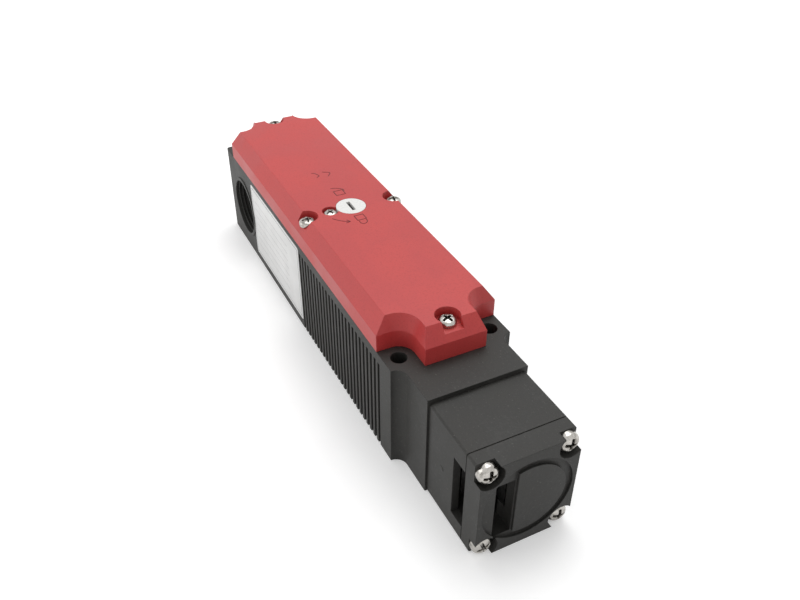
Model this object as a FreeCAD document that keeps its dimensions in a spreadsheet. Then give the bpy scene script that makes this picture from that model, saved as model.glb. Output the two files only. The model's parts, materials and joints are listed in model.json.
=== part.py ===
import FreeCAD, Part
import math
import operator
import os

import Sketcher
from FreeCAD import Placement, Rotation, Vector

# Tongue interlock switch with guard locking.
#
# Frame: millimetres, +X along the switch from the cable end to the actuator head, +Z out of the
# mounting face, origin at the centre of the four mounting holes on the mounting face.
# The housing lies on Z = 0, the cover closes it from above, the head ends the switch at +X.
# A tongue enters the head through the slot in its left wall (-Y) or in its end and turns the cam
# drum. The push rod follows the drum, works the guard contacts with its arm, and is held by the
# tip of the lock lever, which the solenoid lifts.

doc = FreeCAD.newDocument("tongue_interlock_switch")
sheet = doc.addObject("Spreadsheet::Sheet", "Sizes")

SIZES = [
    # housing and neck
    ("body_length", 165.0), ("body_width", 42.0), ("body_height", 38.6), ("body_rounding", 1.2),
    ("side_wall", 2.8), ("floor_wall", 3.0),
    ("hole_inset", 4.5), ("hole_pitch_y", 32.0), ("hole_radius", 2.65),
    ("neck_length", 16.0), ("neck_width", 34.2),
    ("chamber_start", 14.0), ("chamber_end", 33.0), ("chamber_half", 12.0),
    ("waist_back", 71.0), ("waist_length", 9.5), ("waist_half", 13.0), ("front_wall", 12.6),
    ("rib_count", 25), ("rib_pitch", 2.82), ("rib_back", 76.9), ("rib_groove", 1.4),
    ("rib_depth", 1.1), ("rib_top_band", 3.5),
    ("entry_from_end", 20.1), ("entry_axis", 19.1), ("entry_radius", 11.75),
    ("rim_radius", 13.2), ("rim_height", 0.35),
    # gasket and cover
    ("gasket_margin", 0.7), ("gasket_band", 1.1), ("gasket_depth", 1.0),
    ("cover_side", 6.2), ("bevel_height", 5.4), ("bevel_width", 3.8),
    ("tab_reach", 2.4), ("tab_setback", 2.0), ("notch_radius", 5.4), ("notch_bevel", 1.9),
    ("cover_roof", 3.2), ("cover_inset", 1.2),
    ("cover_screw_radius", 1.5), ("cover_screw_grip", 6.0), ("screw_play", 0.2),
    ("cover_head_radius", 2.9), ("cover_head_height", 2.2), ("head_crown", 0.7),
    ("front_screw_inset", 3.7), ("rear_screw_inset", 6.5),
    ("side_screw_offset", 17.2), ("middle_back", 75.8),
    ("recess_radius", 4.1), ("recess_mouth", 6.8), ("recess_run", 8.0),
    # auxiliary release and its seal screw
    ("release_radius", 5.45), ("release_thickness", 2.2), ("disc_gap", 0.1),
    ("stem_radius", 3.0), ("boss_margin", 6.5), ("boss_depth", 3.0), ("boss_rounding", 2.0),
    ("driver_slot_length", 6.2), ("driver_slot_width", 1.4), ("driver_slot_depth", 1.3),
    ("lobe_radius", 4.8), ("lobe_offset", 2.2), ("lobe_thickness", 2.6),
    ("ring_section", 1.4), ("clip_radius", 4.6), ("clip_thickness", 0.8),
    ("seal_screw_offset", 8.15), ("seal_head_radius", 2.4), ("seal_head_height", 1.4),
    ("seal_recess_radius", 3.0), ("seal_recess_depth", 1.6),
    ("seal_shank_radius", 1.0), ("seal_shank_length", 4.0),
    # actuator head
    ("head_width", 32.8), ("head_height", 36.9), ("head_rounding", 0.8),
    ("head_housing_length", 21.0), ("end_cap_length", 8.0), ("head_wall", 2.5),
    ("head_floor", 6.0), ("seam_width", 0.3), ("seam_depth", 0.25),
    ("head_screw_side", 3.3), ("head_screw_end", 3.45), ("head_screw_radius", 1.75),
    ("head_screw_head", 3.25), ("head_screw_height", 2.4), ("head_screw_grip", 9.0),
    ("corner_pocket", 4.3), ("corner_pocket_depth", 3.4),
    ("slot_width", 6.2), ("slot_height", 23.2), ("slot_bottom", 6.3),
    ("end_slot_side", 7.5), ("end_slot_height", 21.5),
    ("panel_radius", 15.2), ("disc_radius", 12.8), ("disc_chord", 4.0), ("panel_depth", 0.9),
    ("drum_recess", 3.5), ("head_ring_radius", 7.4),
    # cam drum on its axle
    ("drum_setback", 7.5), ("drum_side", 3.0), ("drum_radius", 10.4), ("drum_height", 11.6),
    ("drum_room", 0.6), ("hub_radius", 2.7), ("axle_radius", 2.0), ("axle_inset", 0.5),
    ("axle_cover", 3.4),
    ("cam_radius", 7.55), ("cam_offset_x", 3.3), ("cam_offset_y", 3.26),
    ("drum_notch_start", 1.3), ("drum_notch_width", 6.5), ("drum_notch_floor", 6.0),
    # push rod
    ("rod_radius", 4.0), ("rod_gap", 0.4), ("nose_radius", 0.8), ("nose_length", 3.4),
    ("rod_length", 65.4), ("rod_bore", 5.2), ("bush_length", 14.0), ("seal_length", 3.0),
    ("collar_radius", 6.0), ("collar_length", 2.5), ("collar_from_nose", 36.4),
    ("post_thickness", 3.0), ("post_margin", 2.0), ("rod_spring_length", 9.0),
    ("spring_wire", 0.9), ("spring_web", 0.4), ("rod_travel", 4.36),
    ("arm_thickness", 2.5), ("arm_margin", 1.2), ("lock_notch_depth", 1.2),
    # mechanism plate, solenoid and lock lever
    ("plate_thickness", 1.5), ("plate_margin", 1.2),
    ("solenoid_back", 69.0), ("solenoid_length", 30.0), ("solenoid_side", 10.0),
    ("solenoid_axis", 14.0), ("yoke_width", 14.4), ("yoke_height", 17.6), ("yoke_wall", 1.6),
    ("coil_radius", 6.2), ("bobbin_wall", 1.0), ("core_length", 9.4),
    ("armature_radius", 3.6), ("armature_gap", 3.8), ("armature_length", 20.7),
    ("flange_radius", 4.2), ("flange_thickness", 1.2), ("fork_length", 3.3), ("fork_width", 3.6),
    ("cross_pin_radius", 1.2), ("cross_pin_inset", 1.8),
    ("lever_side", 3.0), ("lever_thickness", 1.8), ("pivot_back", 29.0), ("pivot_height", 34.0),
    ("pivot_radius", 1.5), ("pivot_boss", 3.2), ("lever_band", 3.2), ("lever_drop", 1.0),
    ("lever_length", 41.0), ("lever_leg", 5.6), ("lever_knee", 5.0), ("leg_foot", 3.4),
    ("slot_rise", 0.6), ("slot_rounding", 1.0),
    ("tip_back", 38.0), ("tip_length", 3.0), ("tip_height", 3.0), ("tip_reach", 6.0),
    ("bracket_thickness", 1.8), ("bracket_foot", 7.0), ("bracket_setback", 2.0),
    ("bracket_root", 6.0), ("bracket_margin", 3.0),
    ("pivot_head", 2.6), ("pivot_head_length", 0.7), ("pin_overhang", 0.3),
    ("lock_spring_radius", 1.1), ("lock_spring_wire", 0.5), ("lock_spring_place", 15.5),
    # contact blocks and terminals
    ("guard_block_back", 70.0), ("guard_block_length", 19.0), ("guard_block_width", 13.0),
    ("guard_block_height", 26.5), ("guard_block_gap", 0.7),
    ("lock_block_back", 68.0), ("lock_block_length", 20.0), ("lock_block_width", 11.0),
    ("lock_block_side", 2.0), ("lock_block_drop", 2.0), ("lock_plunger_place", 24.0),
    ("plunger_radius", 1.5), ("plunger_tip", 0.8), ("plunger_tip_length", 1.0),
    ("guard_plunger_length", 10.2), ("lock_plunger_floor", 1.2),
    ("block_screw_radius", 1.2), ("block_screw_head", 2.2), ("block_screw_height", 1.6),
    ("block_screw_inset", 3.0),
    ("terminal_margin", 4.75), ("terminal_width", 26.0), ("terminal_border", 4.5),
    ("terminal_height", 15.0), ("terminal_step", 4.0), ("terminal_ridge", 11.0),
    ("terminal_count", 6), ("terminal_row", 9.2),
    ("terminal_screw", 1.8), ("terminal_screw_length", 4.0), ("wire_radius", 1.7),
    ("wire_axis", 6.0),
    # blanking plugs of the unused cable entries
    ("plug_flange_radius", 13.6), ("plug_flange", 2.4), ("plug_depth", 7.0), ("plug_wall", 2.4),
    ("coin_slot_length", 16.0), ("coin_slot_width", 2.4), ("coin_slot_depth", 1.2),
    ("plug_seal_radius", 12.9), ("plug_seal_band", 1.0),
    # clearance of a shaft in its hole, and the play between faces that pass each other
    ("running_fit", 0.06), ("play", 0.3),
]


class Size:
    """A length with its value and the sheet formula that gives it."""

    def __init__(self, value, text):
        self.value = float(value)
        self.text = text

    @staticmethod
    def of(other):
        return other if isinstance(other, Size) else Size(other, repr(other))

    def combine(self, other, symbol, work):
        other = Size.of(other)
        return Size(work(self.value, other.value), f"({self.text} {symbol} {other.text})")

    def __add__(self, other):
        return self.combine(other, "+", operator.add)

    def __radd__(self, other):
        return Size.of(other).combine(self, "+", operator.add)

    def __sub__(self, other):
        return self.combine(other, "-", operator.sub)

    def __rsub__(self, other):
        return Size.of(other).combine(self, "-", operator.sub)

    def __mul__(self, other):
        return self.combine(other, "*", operator.mul)

    def __rmul__(self, other):
        return Size.of(other).combine(self, "*", operator.mul)

    def __truediv__(self, other):
        return self.combine(other, "/", operator.truediv)

    def __neg__(self):
        return Size.of(0).combine(self, "-", operator.sub)

    def root(self):
        return Size(math.sqrt(self.value), f"sqrt({self.text})")


class SizeTable:
    """The sheet's sizes as attributes."""

    def __init__(self, rows):
        for row, (alias, value) in enumerate(rows, start=1):
            sheet.set(f"A{row}", alias)
            sheet.set(f"B{row}", str(value))
            sheet.setAlias(f"B{row}", alias)
            setattr(self, alias, Size(value, f"Sizes.{alias}"))


S = SizeTable(SIZES)
doc.recompute()

ZERO = Size(0, "0")
SIDES = (-1, 1)
UPRIGHT = Rotation()
# a round solid's turn and the direction that its own axis then has
AXES = {
    "x": (Rotation(Vector(0, 1, 0), 90), (1, 0, 0)),
    "y": (Rotation(Vector(1, 0, 0), -90), (0, 1, 0)),
    "z": (UPRIGHT, (0, 0, 1)),
}
NODES = []


def keep(item, label):
    """Name a finished sub-part and list it for export."""
    item.Label = label
    NODES.append(item)


def bind(item, path, size):
    """Tie one property of a document object to a formula of the sheet."""
    item.setExpression(path, Size.of(size).text)


def put(item, place, turn=UPRIGHT):
    """Turn an object and tie its place to the sheet."""
    item.Placement = Placement(Vector(0, 0, 0), turn)
    for axis, size in zip("xyz", place):
        bind(item, f"Placement.Base.{axis}", size)
    return item


def along(place, axis, distance):
    """The place at a distance along an axis."""
    return [p + step * distance if step else p for p, step in zip(place, AXES[axis][1])]


# ------------------------------------------------------------------ solids from primitives

def block(name, x, y, z):
    """A box between two limits on each axis."""
    item = doc.addObject("Part::Box", name)
    for edge, limits in (("Length", x), ("Width", y), ("Height", z)):
        bind(item, edge, limits[1] - limits[0])
    return put(item, (x[0], y[0], z[0]))


def bar(name, radius, length, place, axis="z"):
    """A cylinder that starts at a place and runs along an axis."""
    item = doc.addObject("Part::Cylinder", name)
    bind(item, "Radius", radius)
    bind(item, "Height", length)
    return put(item, place, AXES[axis][0])


def taper(name, first, last, length, place, axis="z"):
    """A cone from the first radius to the last."""
    item = doc.addObject("Part::Cone", name)
    bind(item, "Radius1", first)
    bind(item, "Radius2", last)
    bind(item, "Height", length)
    return put(item, place, AXES[axis][0])


def join(name, parts):
    item = doc.addObject("Part::MultiFuse", name)
    item.Shapes = parts
    item.Refine = True
    return item


def cut(name, base, tools):
    item = doc.addObject("Part::Cut", name)
    item.Base = base
    item.Tool = tools[0] if len(tools) == 1 else join(name + "_tools", tools)
    item.Refine = True
    return item


def tube(name, outer, inner, length, place, axis="z"):
    return cut(name, bar(name + "_outside", outer, length, place, axis),
               [bar(name + "_inside", inner, length, place, axis)])


def pan_screw(name, head, shank, place, axis):
    """A screw whose head seats at a place; head and shank are (radius, length)."""
    crown = along(place, axis, head[1] - S.head_crown)
    return join(name, [
        bar(name + "_shank", shank[0], shank[1], along(place, axis, -shank[1]), axis),
        bar(name + "_head", head[0], head[1] - S.head_crown, place, axis),
        taper(name + "_crown", head[0], head[0] - S.head_crown, S.head_crown, crown, axis)])


def group(name, parts):
    """Several separate solids in one node."""
    item = doc.addObject("Part::Compound", name)
    item.Links = parts
    return item


# ------------------------------------------------------------------ solids from sketches

def arc_between(start, end, radius):
    """The arc from start to end; a positive radius bulges to the left of the way there."""
    chord = end - start
    left = Vector(-chord.y, chord.x, 0).normalize()
    reach = math.sqrt(radius * radius - (chord.Length / 2) ** 2)
    centre = (start + end) * 0.5 - left * math.copysign(reach, radius)
    first, last = (end, start) if radius > 0 else (start, end)
    angles = [math.atan2(p.y - centre.y, p.x - centre.x) for p in (first, last)]
    if angles[1] < angles[0]:
        angles[1] += 2 * math.pi
    whole = Part.Circle(centre, Vector(0, 0, 1), abs(radius))
    return Part.ArcOfCircle(whole, angles[0], angles[1])


def circle(u, v, radius):
    return ("circle", u, v, radius)


def rectangle(u, v):
    return [(u[0], v[0]), (u[1], v[0]), (u[1], v[1]), (u[0], v[1])]


def rounded(u, v, radius):
    """A rectangle with rounded corners."""
    return [(u[1] - radius, v[0]), (u[1], v[0] + radius, -radius),
            (u[1], v[1] - radius), (u[1] - radius, v[1], -radius),
            (u[0] + radius, v[1]), (u[0], v[1] - radius, -radius),
            (u[0], v[0] + radius), (u[0] + radius, v[0], -radius)]


def mirrored(side):
    """Close an outline whose lower half, y < 0, runs from the rear to the front."""
    upper = []
    arc = ()
    for point in reversed(side):
        upper.append((point[0], -point[1]) + arc)
        arc = point[2:]
    return side + upper


class Moulded:
    """A PartDesign body made by pads and pockets of fully constrained sketches.

    A sketch lies on the plane "XY", "XZ" or "YZ" at a height along Z, Y or X. A loop is a circle
    or a list of points (u, v), counter-clockwise; a point (u, v, radius) ends an arc, which bulges
    inwards where the radius is positive and outwards where it is negative.
    """

    def __init__(self, name):
        self.body = doc.addObject("PartDesign::Body", name)
        self.steps = 0

    def origin(self, role):
        return [f for f in self.body.Origin.OriginFeatures if f.Role == role][0]

    def feature(self, kind, suffix):
        return self.body.newObject(f"PartDesign::{kind}", f"{self.body.Name}_{suffix}{self.steps}")

    def sketch(self, plane, height, loops):
        self.steps += 1
        name = f"{self.body.Name}_sketch{self.steps}"
        item = self.body.newObject("Sketcher::SketchObject", name)
        item.AttachmentSupport = [(self.origin(f"{plane}_Plane"), "")]
        item.MapMode = "FlatFace"
        bind(item, "AttachmentOffset.Base.z", -height if plane == "XZ" else height)
        for loop in loops:
            if loop[0] == "circle":
                self.add_circle(item, *loop[1:])
            else:
                self.add_outline(item, loop)
        return item

    @staticmethod
    def fix(item, rules):
        """Add dimensions to a sketch and tie each to the sheet."""
        first = item.ConstraintCount
        item.addConstraint([Sketcher.Constraint(kind, *where, size.value)
                            for kind, where, size in rules])
        for index, rule in enumerate(rules, start=first):
            item.setExpression(f"Constraints[{index}]", rule[2].text)

    def add_circle(self, item, u, v, radius):
        centre = Vector(u.value, v.value, 0)
        edge = item.addGeometry(Part.Circle(centre, Vector(0, 0, 1), radius.value))
        self.fix(item, [("DistanceX", (-1, 1, edge, 3), u), ("DistanceY", (-1, 1, edge, 3), v),
                        ("Radius", (edge,), radius)])

    def add_outline(self, item, loop):
        points = [Vector(p[0].value, p[1].value, 0) for p in loop]
        edges = []
        for index, point in enumerate(loop):
            ends = points[index - 1], points[index]
            if len(point) == 3:
                edges.append(item.addGeometry(arc_between(*ends, point[2].value)))
            else:
                edges.append(item.addGeometry(Part.LineSegment(*ends)))
        # a sketch counts the ends of an arc counter-clockwise
        last = [1 if len(p) == 3 and p[2].value > 0 else 2 for p in loop]
        item.addConstraint([
            Sketcher.Constraint("Coincident", edges[i - 1], last[i - 1], edges[i], 3 - last[i])
            for i in range(len(loop))])
        rules = []
        for index, point in enumerate(loop):
            corner = (-1, 1, edges[index], last[index])
            rules += [("DistanceX", corner, point[0]), ("DistanceY", corner, point[1])]
            if len(point) == 3:
                radius = point[2] if point[2].value > 0 else -point[2]
                rules.append(("Radius", (edges[index],), radius))
        self.fix(item, rules)

    def pad(self, plane, height, loops, length, back=False):
        """Raise a sketch along its plane's normal, or back against it."""
        profile = self.sketch(plane, height, loops)
        item = self.feature("Pad", "pad")
        item.Profile = profile
        bind(item, "Length", length)
        item.Reversed = back
        doc.recompute()
        return item

    def pocket(self, plane, height, loops, length=None, back=False):
        """Cut a sketch against its plane's normal, or through everything without a length."""
        volume = self.body.Shape.Volume
        profile = self.sketch(plane, height, loops)
        item = self.feature("Pocket", "pocket")
        item.Profile = profile
        if length is None:
            item.Type = "ThroughAll"
            item.Midplane = True
        else:
            bind(item, "Length", length)
            item.Reversed = back
        doc.recompute()
        if self.body.Shape.Volume >= volume:
            raise RuntimeError(f"{item.Name} cuts nothing")
        return item

    def loft(self, sections):
        """A ruled loft through outlines at growing heights."""
        sketches = [self.sketch("XY", height, [loop]) for height, loop in sections]
        item = self.feature("AdditiveLoft", "loft")
        item.Profile = sketches[0]
        item.Sections = sketches[1:]
        item.Ruled = True
        doc.recompute()
        return item

    def turn(self, profile):
        """Revolve an outline (x, radius) about the X axis."""
        sketch = self.sketch("XZ", ZERO, [profile])
        item = self.feature("Revolution", "turn")
        item.Profile = sketch
        item.ReferenceAxis = (sketch, ["H_Axis"])
        item.Angle = 360
        doc.recompute()
        return item

    def row_along_x(self, feature, count, length):
        item = self.feature("LinearPattern", "row")
        item.Originals = [feature]
        item.Direction = (self.origin("X_Axis"), [""])
        bind(item, "Occurrences", count)
        bind(item, "Length", length)
        self.body.Tip = item
        doc.recompute()
        return item


# ------------------------------------------------------------------ shared places

REAR = -(S.body_length / 2)
FRONT = S.body_length / 2
NECK_FRONT = FRONT + S.neck_length
PARTING = NECK_FRONT + S.head_housing_length
HEAD_END = PARTING + S.end_cap_length
TOP = S.body_height
COVER_TOP = TOP + S.cover_side + S.bevel_height
ROOF = COVER_TOP - S.cover_roof
HALF = S.body_width / 2
NECK_HALF = S.neck_width / 2
NECK_CORNER = HALF - NECK_HALF
HEAD_HALF = S.head_width / 2
HEAD_AXIS = S.head_height / 2
HEAD_SCREW_Y = HEAD_HALF - S.head_screw_side
HEAD_SCREW_Z = HEAD_AXIS - S.head_screw_end
CAVITY_HALF = HALF - S.side_wall
CAVITY_FRONT = FRONT - S.front_wall
WAIST_FRONT = FRONT - S.waist_back
WAIST_REAR = WAIST_FRONT - S.waist_length
HOLE_X = FRONT - S.hole_inset
HOLE_Y = S.hole_pitch_y / 2
MIDDLE = FRONT - S.middle_back
ENTRY_X = REAR + S.entry_from_end
DRUM_X = PARTING - S.drum_setback
ROD_Y = -S.drum_side
ROD_NOSE = DRUM_X - S.drum_radius - S.rod_gap
ROD_TAIL = ROD_NOSE - S.rod_length
ROD_TOP = HEAD_AXIS + S.rod_radius
COLLAR_X = ROD_NOSE - S.collar_from_nose - S.collar_length
POST_FRONT = COLLAR_X - S.rod_spring_length
PLATE_TOP = S.floor_wall + S.plate_thickness
YOKE_X = FRONT - S.solenoid_back
YOKE_FRONT = YOKE_X + S.solenoid_length
YOKE_SIDE = S.solenoid_side - S.yoke_width / 2
YOKE_TOP = PLATE_TOP + S.yoke_height
FOOT_TOP = YOKE_TOP + S.bracket_thickness
COIL_BORE = S.armature_radius + S.running_fit
ARMATURE_X = YOKE_X + S.yoke_wall + S.core_length + S.armature_gap
FORK_X = ARMATURE_X + S.armature_length + S.flange_thickness
CROSS_PIN_X = FORK_X + S.fork_length - S.cross_pin_inset
PIVOT_X = FRONT - S.pivot_back
LEVER_BOTTOM = S.pivot_height - S.lever_drop
LEVER_FAR_SIDE = S.lever_side + S.lever_thickness
TIP_X = FRONT - S.tip_back
TIP_Z = ROD_TOP + S.play
BRACKET_SIDE = LEVER_FAR_SIDE + S.play
GUARD_BLOCK_X = FRONT - S.guard_block_back
GUARD_BLOCK_Y = S.guard_block_gap - CAVITY_HALF
GUARD_PLUNGER_Y = GUARD_BLOCK_Y + S.guard_block_width / 2
LOCK_BLOCK_TOP = LEVER_BOTTOM - S.lock_block_drop
TERMINAL_REAR = REAR + S.chamber_end + S.terminal_margin
TERMINAL_FRONT = WAIST_REAR - S.terminal_margin


def cavity_outline(grow):
    """The outline of the housing's hollow, grown outwards by the given amount.

    From the rear: the cable chamber, the terminal space, a waist at the middle screws and the
    mechanism space.
    """
    wide = -(CAVITY_HALF + grow)
    narrow = -(S.chamber_half + grow)
    waist = -(S.waist_half + grow)
    rear, chamber_end = (REAR + start - grow for start in (S.chamber_start, S.chamber_end))
    waist_start = WAIST_REAR + grow
    waist_end = WAIST_FRONT - grow
    return mirrored([(rear, narrow), (chamber_end, narrow), (chamber_end, wide),
                     (waist_start, wide), (waist_start, waist), (waist_end, waist),
                     (waist_end, wide), (CAVITY_FRONT + grow, wide)])


def cover_outline(inset, notch_growth):
    """The cover's outline: two tabs and four corners cut away round the mounting holes."""
    radius = S.notch_radius + notch_growth
    half = -(HALF - inset)
    tab = -(HOLE_Y - radius)
    return mirrored([(REAR + S.tab_setback + inset, tab), (-HOLE_X, tab),
                     (radius - HOLE_X, -HOLE_Y, radius), (radius - HOLE_X, half),
                     (HOLE_X - radius, half), (HOLE_X - radius, -HOLE_Y),
                     (HOLE_X, tab, radius), (FRONT + S.tab_reach - inset, tab)])


def cover_screw_places():
    """Centre and outward direction of the cover's screws: one in each tab, two at the waist."""
    return [(FRONT - S.front_screw_inset, ZERO, (1, 0)),
            (REAR + S.rear_screw_inset, ZERO, (-1, 0)),
            (MIDDLE, -S.side_screw_offset, (0, -1)),
            (MIDDLE, S.side_screw_offset, (0, 1))]


def head_screw_places():
    return [(a * HEAD_SCREW_Y, HEAD_AXIS + b * HEAD_SCREW_Z) for a in SIDES for b in SIDES]


def guard_screw_places():
    """Two screws in opposite corners of the guard contact block."""
    rear = GUARD_BLOCK_X + S.block_screw_inset
    front = GUARD_BLOCK_X + S.guard_block_length - S.block_screw_inset
    left = GUARD_BLOCK_Y + S.block_screw_inset
    right = GUARD_BLOCK_Y + S.guard_block_width - S.block_screw_inset
    return [(rear, left), (front, right)]


def terminal_row():
    """The first clamp's place along X and the way from it to the last."""
    first = TERMINAL_REAR + S.terminal_border
    return first, TERMINAL_FRONT - S.terminal_border - first


# ------------------------------------------------------------------ housing and gasket

def make_housing():
    """The ribbed housing with its neck: the piece that carries all the others."""
    part = Moulded("housing")
    edge = S.body_rounding
    plan = mirrored([(REAR, edge - HALF), (REAR + edge, -HALF, -edge), (FRONT, -HALF),
                     (FRONT + NECK_CORNER, -NECK_HALF, NECK_CORNER), (NECK_FRONT, -NECK_HALF)])
    part.pad("XY", ZERO, [plan], TOP)
    mouth = circle(ENTRY_X, S.entry_axis, S.entry_radius)
    for side in SIDES:
        rim = [circle(ENTRY_X, S.entry_axis, S.rim_radius), mouth]
        part.pad("XZ", side * HALF, rim, S.rim_height, back=side > 0)
    part.pocket("XY", TOP, [cavity_outline(ZERO)], TOP - S.floor_wall)
    seat = [cavity_outline(S.gasket_margin + S.gasket_band), cavity_outline(S.gasket_margin)]
    part.pocket("XY", TOP, seat, S.gasket_depth)
    for side in SIDES:
        part.pocket("XZ", side * (HALF + S.rim_height), [mouth],
                    HALF + S.rim_height - S.chamber_half, side > 0)
    part.pocket("YZ", REAR, [circle(ZERO, S.entry_axis, S.entry_radius)], S.chamber_start, True)
    part.pocket("YZ", NECK_FRONT, [circle(ROD_Y, HEAD_AXIS, S.rod_bore)],
                NECK_FRONT - CAVITY_FRONT)
    part.pocket("YZ", NECK_FRONT, [circle(ROD_Y, HEAD_AXIS, S.head_ring_radius)], S.gasket_depth)
    corners = [circle(a * HOLE_X, b * HOLE_Y, S.hole_radius) for a in SIDES for b in SIDES]
    part.pocket("XY", TOP, corners)
    tapped = [circle(x, y, S.cover_screw_radius) for x, y, _ in cover_screw_places()]
    part.pocket("XY", TOP, tapped, S.cover_screw_grip)
    tapped = [circle(y, z, S.head_screw_radius) for y, z in head_screw_places()]
    part.pocket("YZ", NECK_FRONT, tapped, S.head_screw_grip)
    first = FRONT - S.rib_back
    width = (first, first + S.rib_groove)
    grooves = [rectangle(width, (-HALF, S.rib_depth - HALF)),
               rectangle(width, (HALF - S.rib_depth, HALF))]
    band = TOP - S.rib_top_band
    groove = part.pocket("XY", band, grooves, band)
    part.row_along_x(groove, S.rib_count, S.rib_pitch * (S.rib_count - 1))
    keep(part.body, "housing")


def make_gasket():
    part = Moulded("cover_gasket")
    ring = [cavity_outline(S.gasket_margin + S.gasket_band), cavity_outline(S.gasket_margin)]
    part.pad("XY", TOP - S.gasket_depth, ring, S.gasket_depth)
    keep(part.body, "cover_gasket")


def make_blanking_plug(label, place, quarter_turns):
    """A hollow screw plug with a round flange and a coin slot, with its seal ring."""
    part = Moulded(label)
    seat = S.rim_height + S.plug_seal_band
    face = seat + S.plug_flange
    spigot = S.entry_radius - S.running_fit
    inside = spigot - S.plug_wall
    part.turn([(-S.plug_depth, inside), (-S.plug_wall, inside), (-S.plug_wall, ZERO),
               (face, ZERO), (face, S.plug_flange_radius), (seat, S.plug_flange_radius),
               (seat, spigot), (-S.plug_depth, spigot)][::-1])
    half = S.coin_slot_width / 2
    slot = rectangle((-(S.coin_slot_length / 2), S.coin_slot_length / 2), (-half, half))
    part.pocket("YZ", face, [slot], S.coin_slot_depth)
    turn = Rotation(Vector(0, 0, 1), 90 * quarter_turns)
    keep(put(part.body, place, turn), label)


def make_plug_seals():
    side = (ENTRY_X, HALF + S.rim_height, S.entry_axis)
    end = (REAR - S.rim_height - S.plug_seal_band, ZERO, S.entry_axis)
    size = (S.plug_seal_radius, S.entry_radius, S.plug_seal_band)
    keep(group("plug_seals", [tube("side_seal", *size, side, "y"),
                              tube("end_seal", *size, end, "x")]), "plug_seals")


# ------------------------------------------------------------------ cover and its fasteners

def make_cover():
    """The bevelled cover: a lofted shell with screw recesses and the boss of the release."""
    part = Moulded("cover")
    bevel = TOP + S.cover_side
    part.pad("XY", TOP, [cover_outline(ZERO, ZERO)], S.cover_side)
    part.loft([(bevel, cover_outline(ZERO, ZERO)),
               (COVER_TOP, cover_outline(S.bevel_width, S.notch_bevel))])
    part.pocket("XY", TOP, [cavity_outline(-S.cover_inset)], ROOF - TOP, True)
    boss = rounded((MIDDLE - S.boss_margin, MIDDLE + S.boss_margin),
                   (-(S.seal_screw_offset + S.seal_recess_radius), S.boss_margin),
                   S.boss_rounding)
    part.pad("XY", ROOF, [boss], S.boss_depth, True)
    places = cover_screw_places()
    part.pocket("XY", COVER_TOP, [circle(x, y, S.recess_radius) for x, y, _ in places],
                S.cover_roof)
    mouths = []
    for x, y, (dx, dy) in places:
        across = S.recess_mouth / 2
        ends = [x + dx * S.recess_run, y + dy * S.recess_run]
        if dx:
            span = (x, ends[0]) if dx > 0 else (ends[0], x)
            mouths.append(rectangle(span, (y - across, y + across)))
        else:
            span = (y, ends[1]) if dy > 0 else (ends[1], y)
            mouths.append(rectangle((x - across, x + across), span))
    part.pocket("XY", COVER_TOP, mouths, S.cover_roof)
    clear = S.cover_screw_radius + S.screw_play
    part.pocket("XY", COVER_TOP, [circle(x, y, clear) for x, y, _ in places])
    part.pocket("XY", COVER_TOP, [circle(MIDDLE, ZERO, S.release_radius + S.disc_gap)],
                S.release_thickness)
    part.pocket("XY", COVER_TOP, [circle(MIDDLE, ZERO, S.stem_radius + S.running_fit)])
    ring = S.stem_radius + S.ring_section
    part.pocket("XY", ROOF - S.boss_depth, [circle(MIDDLE, ZERO, ring)], S.ring_section, True)
    seal_y = -S.seal_screw_offset
    part.pocket("XY", COVER_TOP, [circle(MIDDLE, seal_y, S.seal_recess_radius)],
                S.seal_recess_depth)
    part.pocket("XY", COVER_TOP, [circle(MIDDLE, seal_y, S.seal_shank_radius)],
                S.seal_recess_depth + S.seal_shank_length)
    keep(part.body, "cover")


def make_cover_screws():
    head = (S.cover_head_radius, S.cover_head_height)
    shank = (S.cover_screw_radius, S.cover_screw_grip + ROOF - TOP)
    screws = [pan_screw(f"cover_screw{n}", head, shank, (x, y, ROOF), "z")
              for n, (x, y, _) in enumerate(cover_screw_places())]
    keep(group("cover_screws", screws), "cover_screws")


def make_seal_screw():
    place = (MIDDLE, -S.seal_screw_offset, COVER_TOP - S.seal_recess_depth)
    screw = pan_screw("seal_screw", (S.seal_head_radius, S.seal_head_height),
                      (S.seal_shank_radius, S.seal_shank_length), place, "z")
    keep(screw, "seal_screw")


def make_release_spindle():
    """The slotted disc, flush with the cover, on a stem that ends in an eccentric lobe."""
    floor = COVER_TOP - S.release_thickness + S.running_fit
    lobe_z = LEVER_BOTTOM - S.play - S.lobe_thickness
    disc = bar("release_disc", S.release_radius, S.release_thickness - S.running_fit,
               (MIDDLE, ZERO, floor))
    stem = bar("release_stem", S.stem_radius, floor - lobe_z, (MIDDLE, ZERO, lobe_z))
    lobe = bar("release_lobe", S.lobe_radius, S.lobe_thickness,
               (MIDDLE - S.lobe_offset, ZERO, lobe_z))
    long_half = S.driver_slot_length / 2
    half = S.driver_slot_width / 2
    slot = block("driver_slot", (MIDDLE - long_half, MIDDLE + long_half), (-half, half),
                 (COVER_TOP - S.driver_slot_depth, COVER_TOP))
    keep(cut("release_spindle", join("release_body", [disc, stem, lobe]), [slot]),
         "release_spindle")


def make_release_seal_and_clip():
    boss = ROOF - S.boss_depth
    ring = tube("release_seal", S.stem_radius + S.ring_section, S.stem_radius + S.running_fit,
                S.ring_section, (MIDDLE, ZERO, boss))
    keep(ring, "release_seal")
    clip = tube("release_clip", S.clip_radius, S.stem_radius, S.clip_thickness,
                (MIDDLE, ZERO, boss - S.running_fit - S.clip_thickness))
    keep(clip, "release_clip")


# ------------------------------------------------------------------ actuator head

def head_section(inset):
    """The head's square section, seen along X."""
    return rounded((inset - HEAD_HALF, HEAD_HALF - inset), (inset, S.head_height - inset),
                   S.head_rounding)


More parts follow.
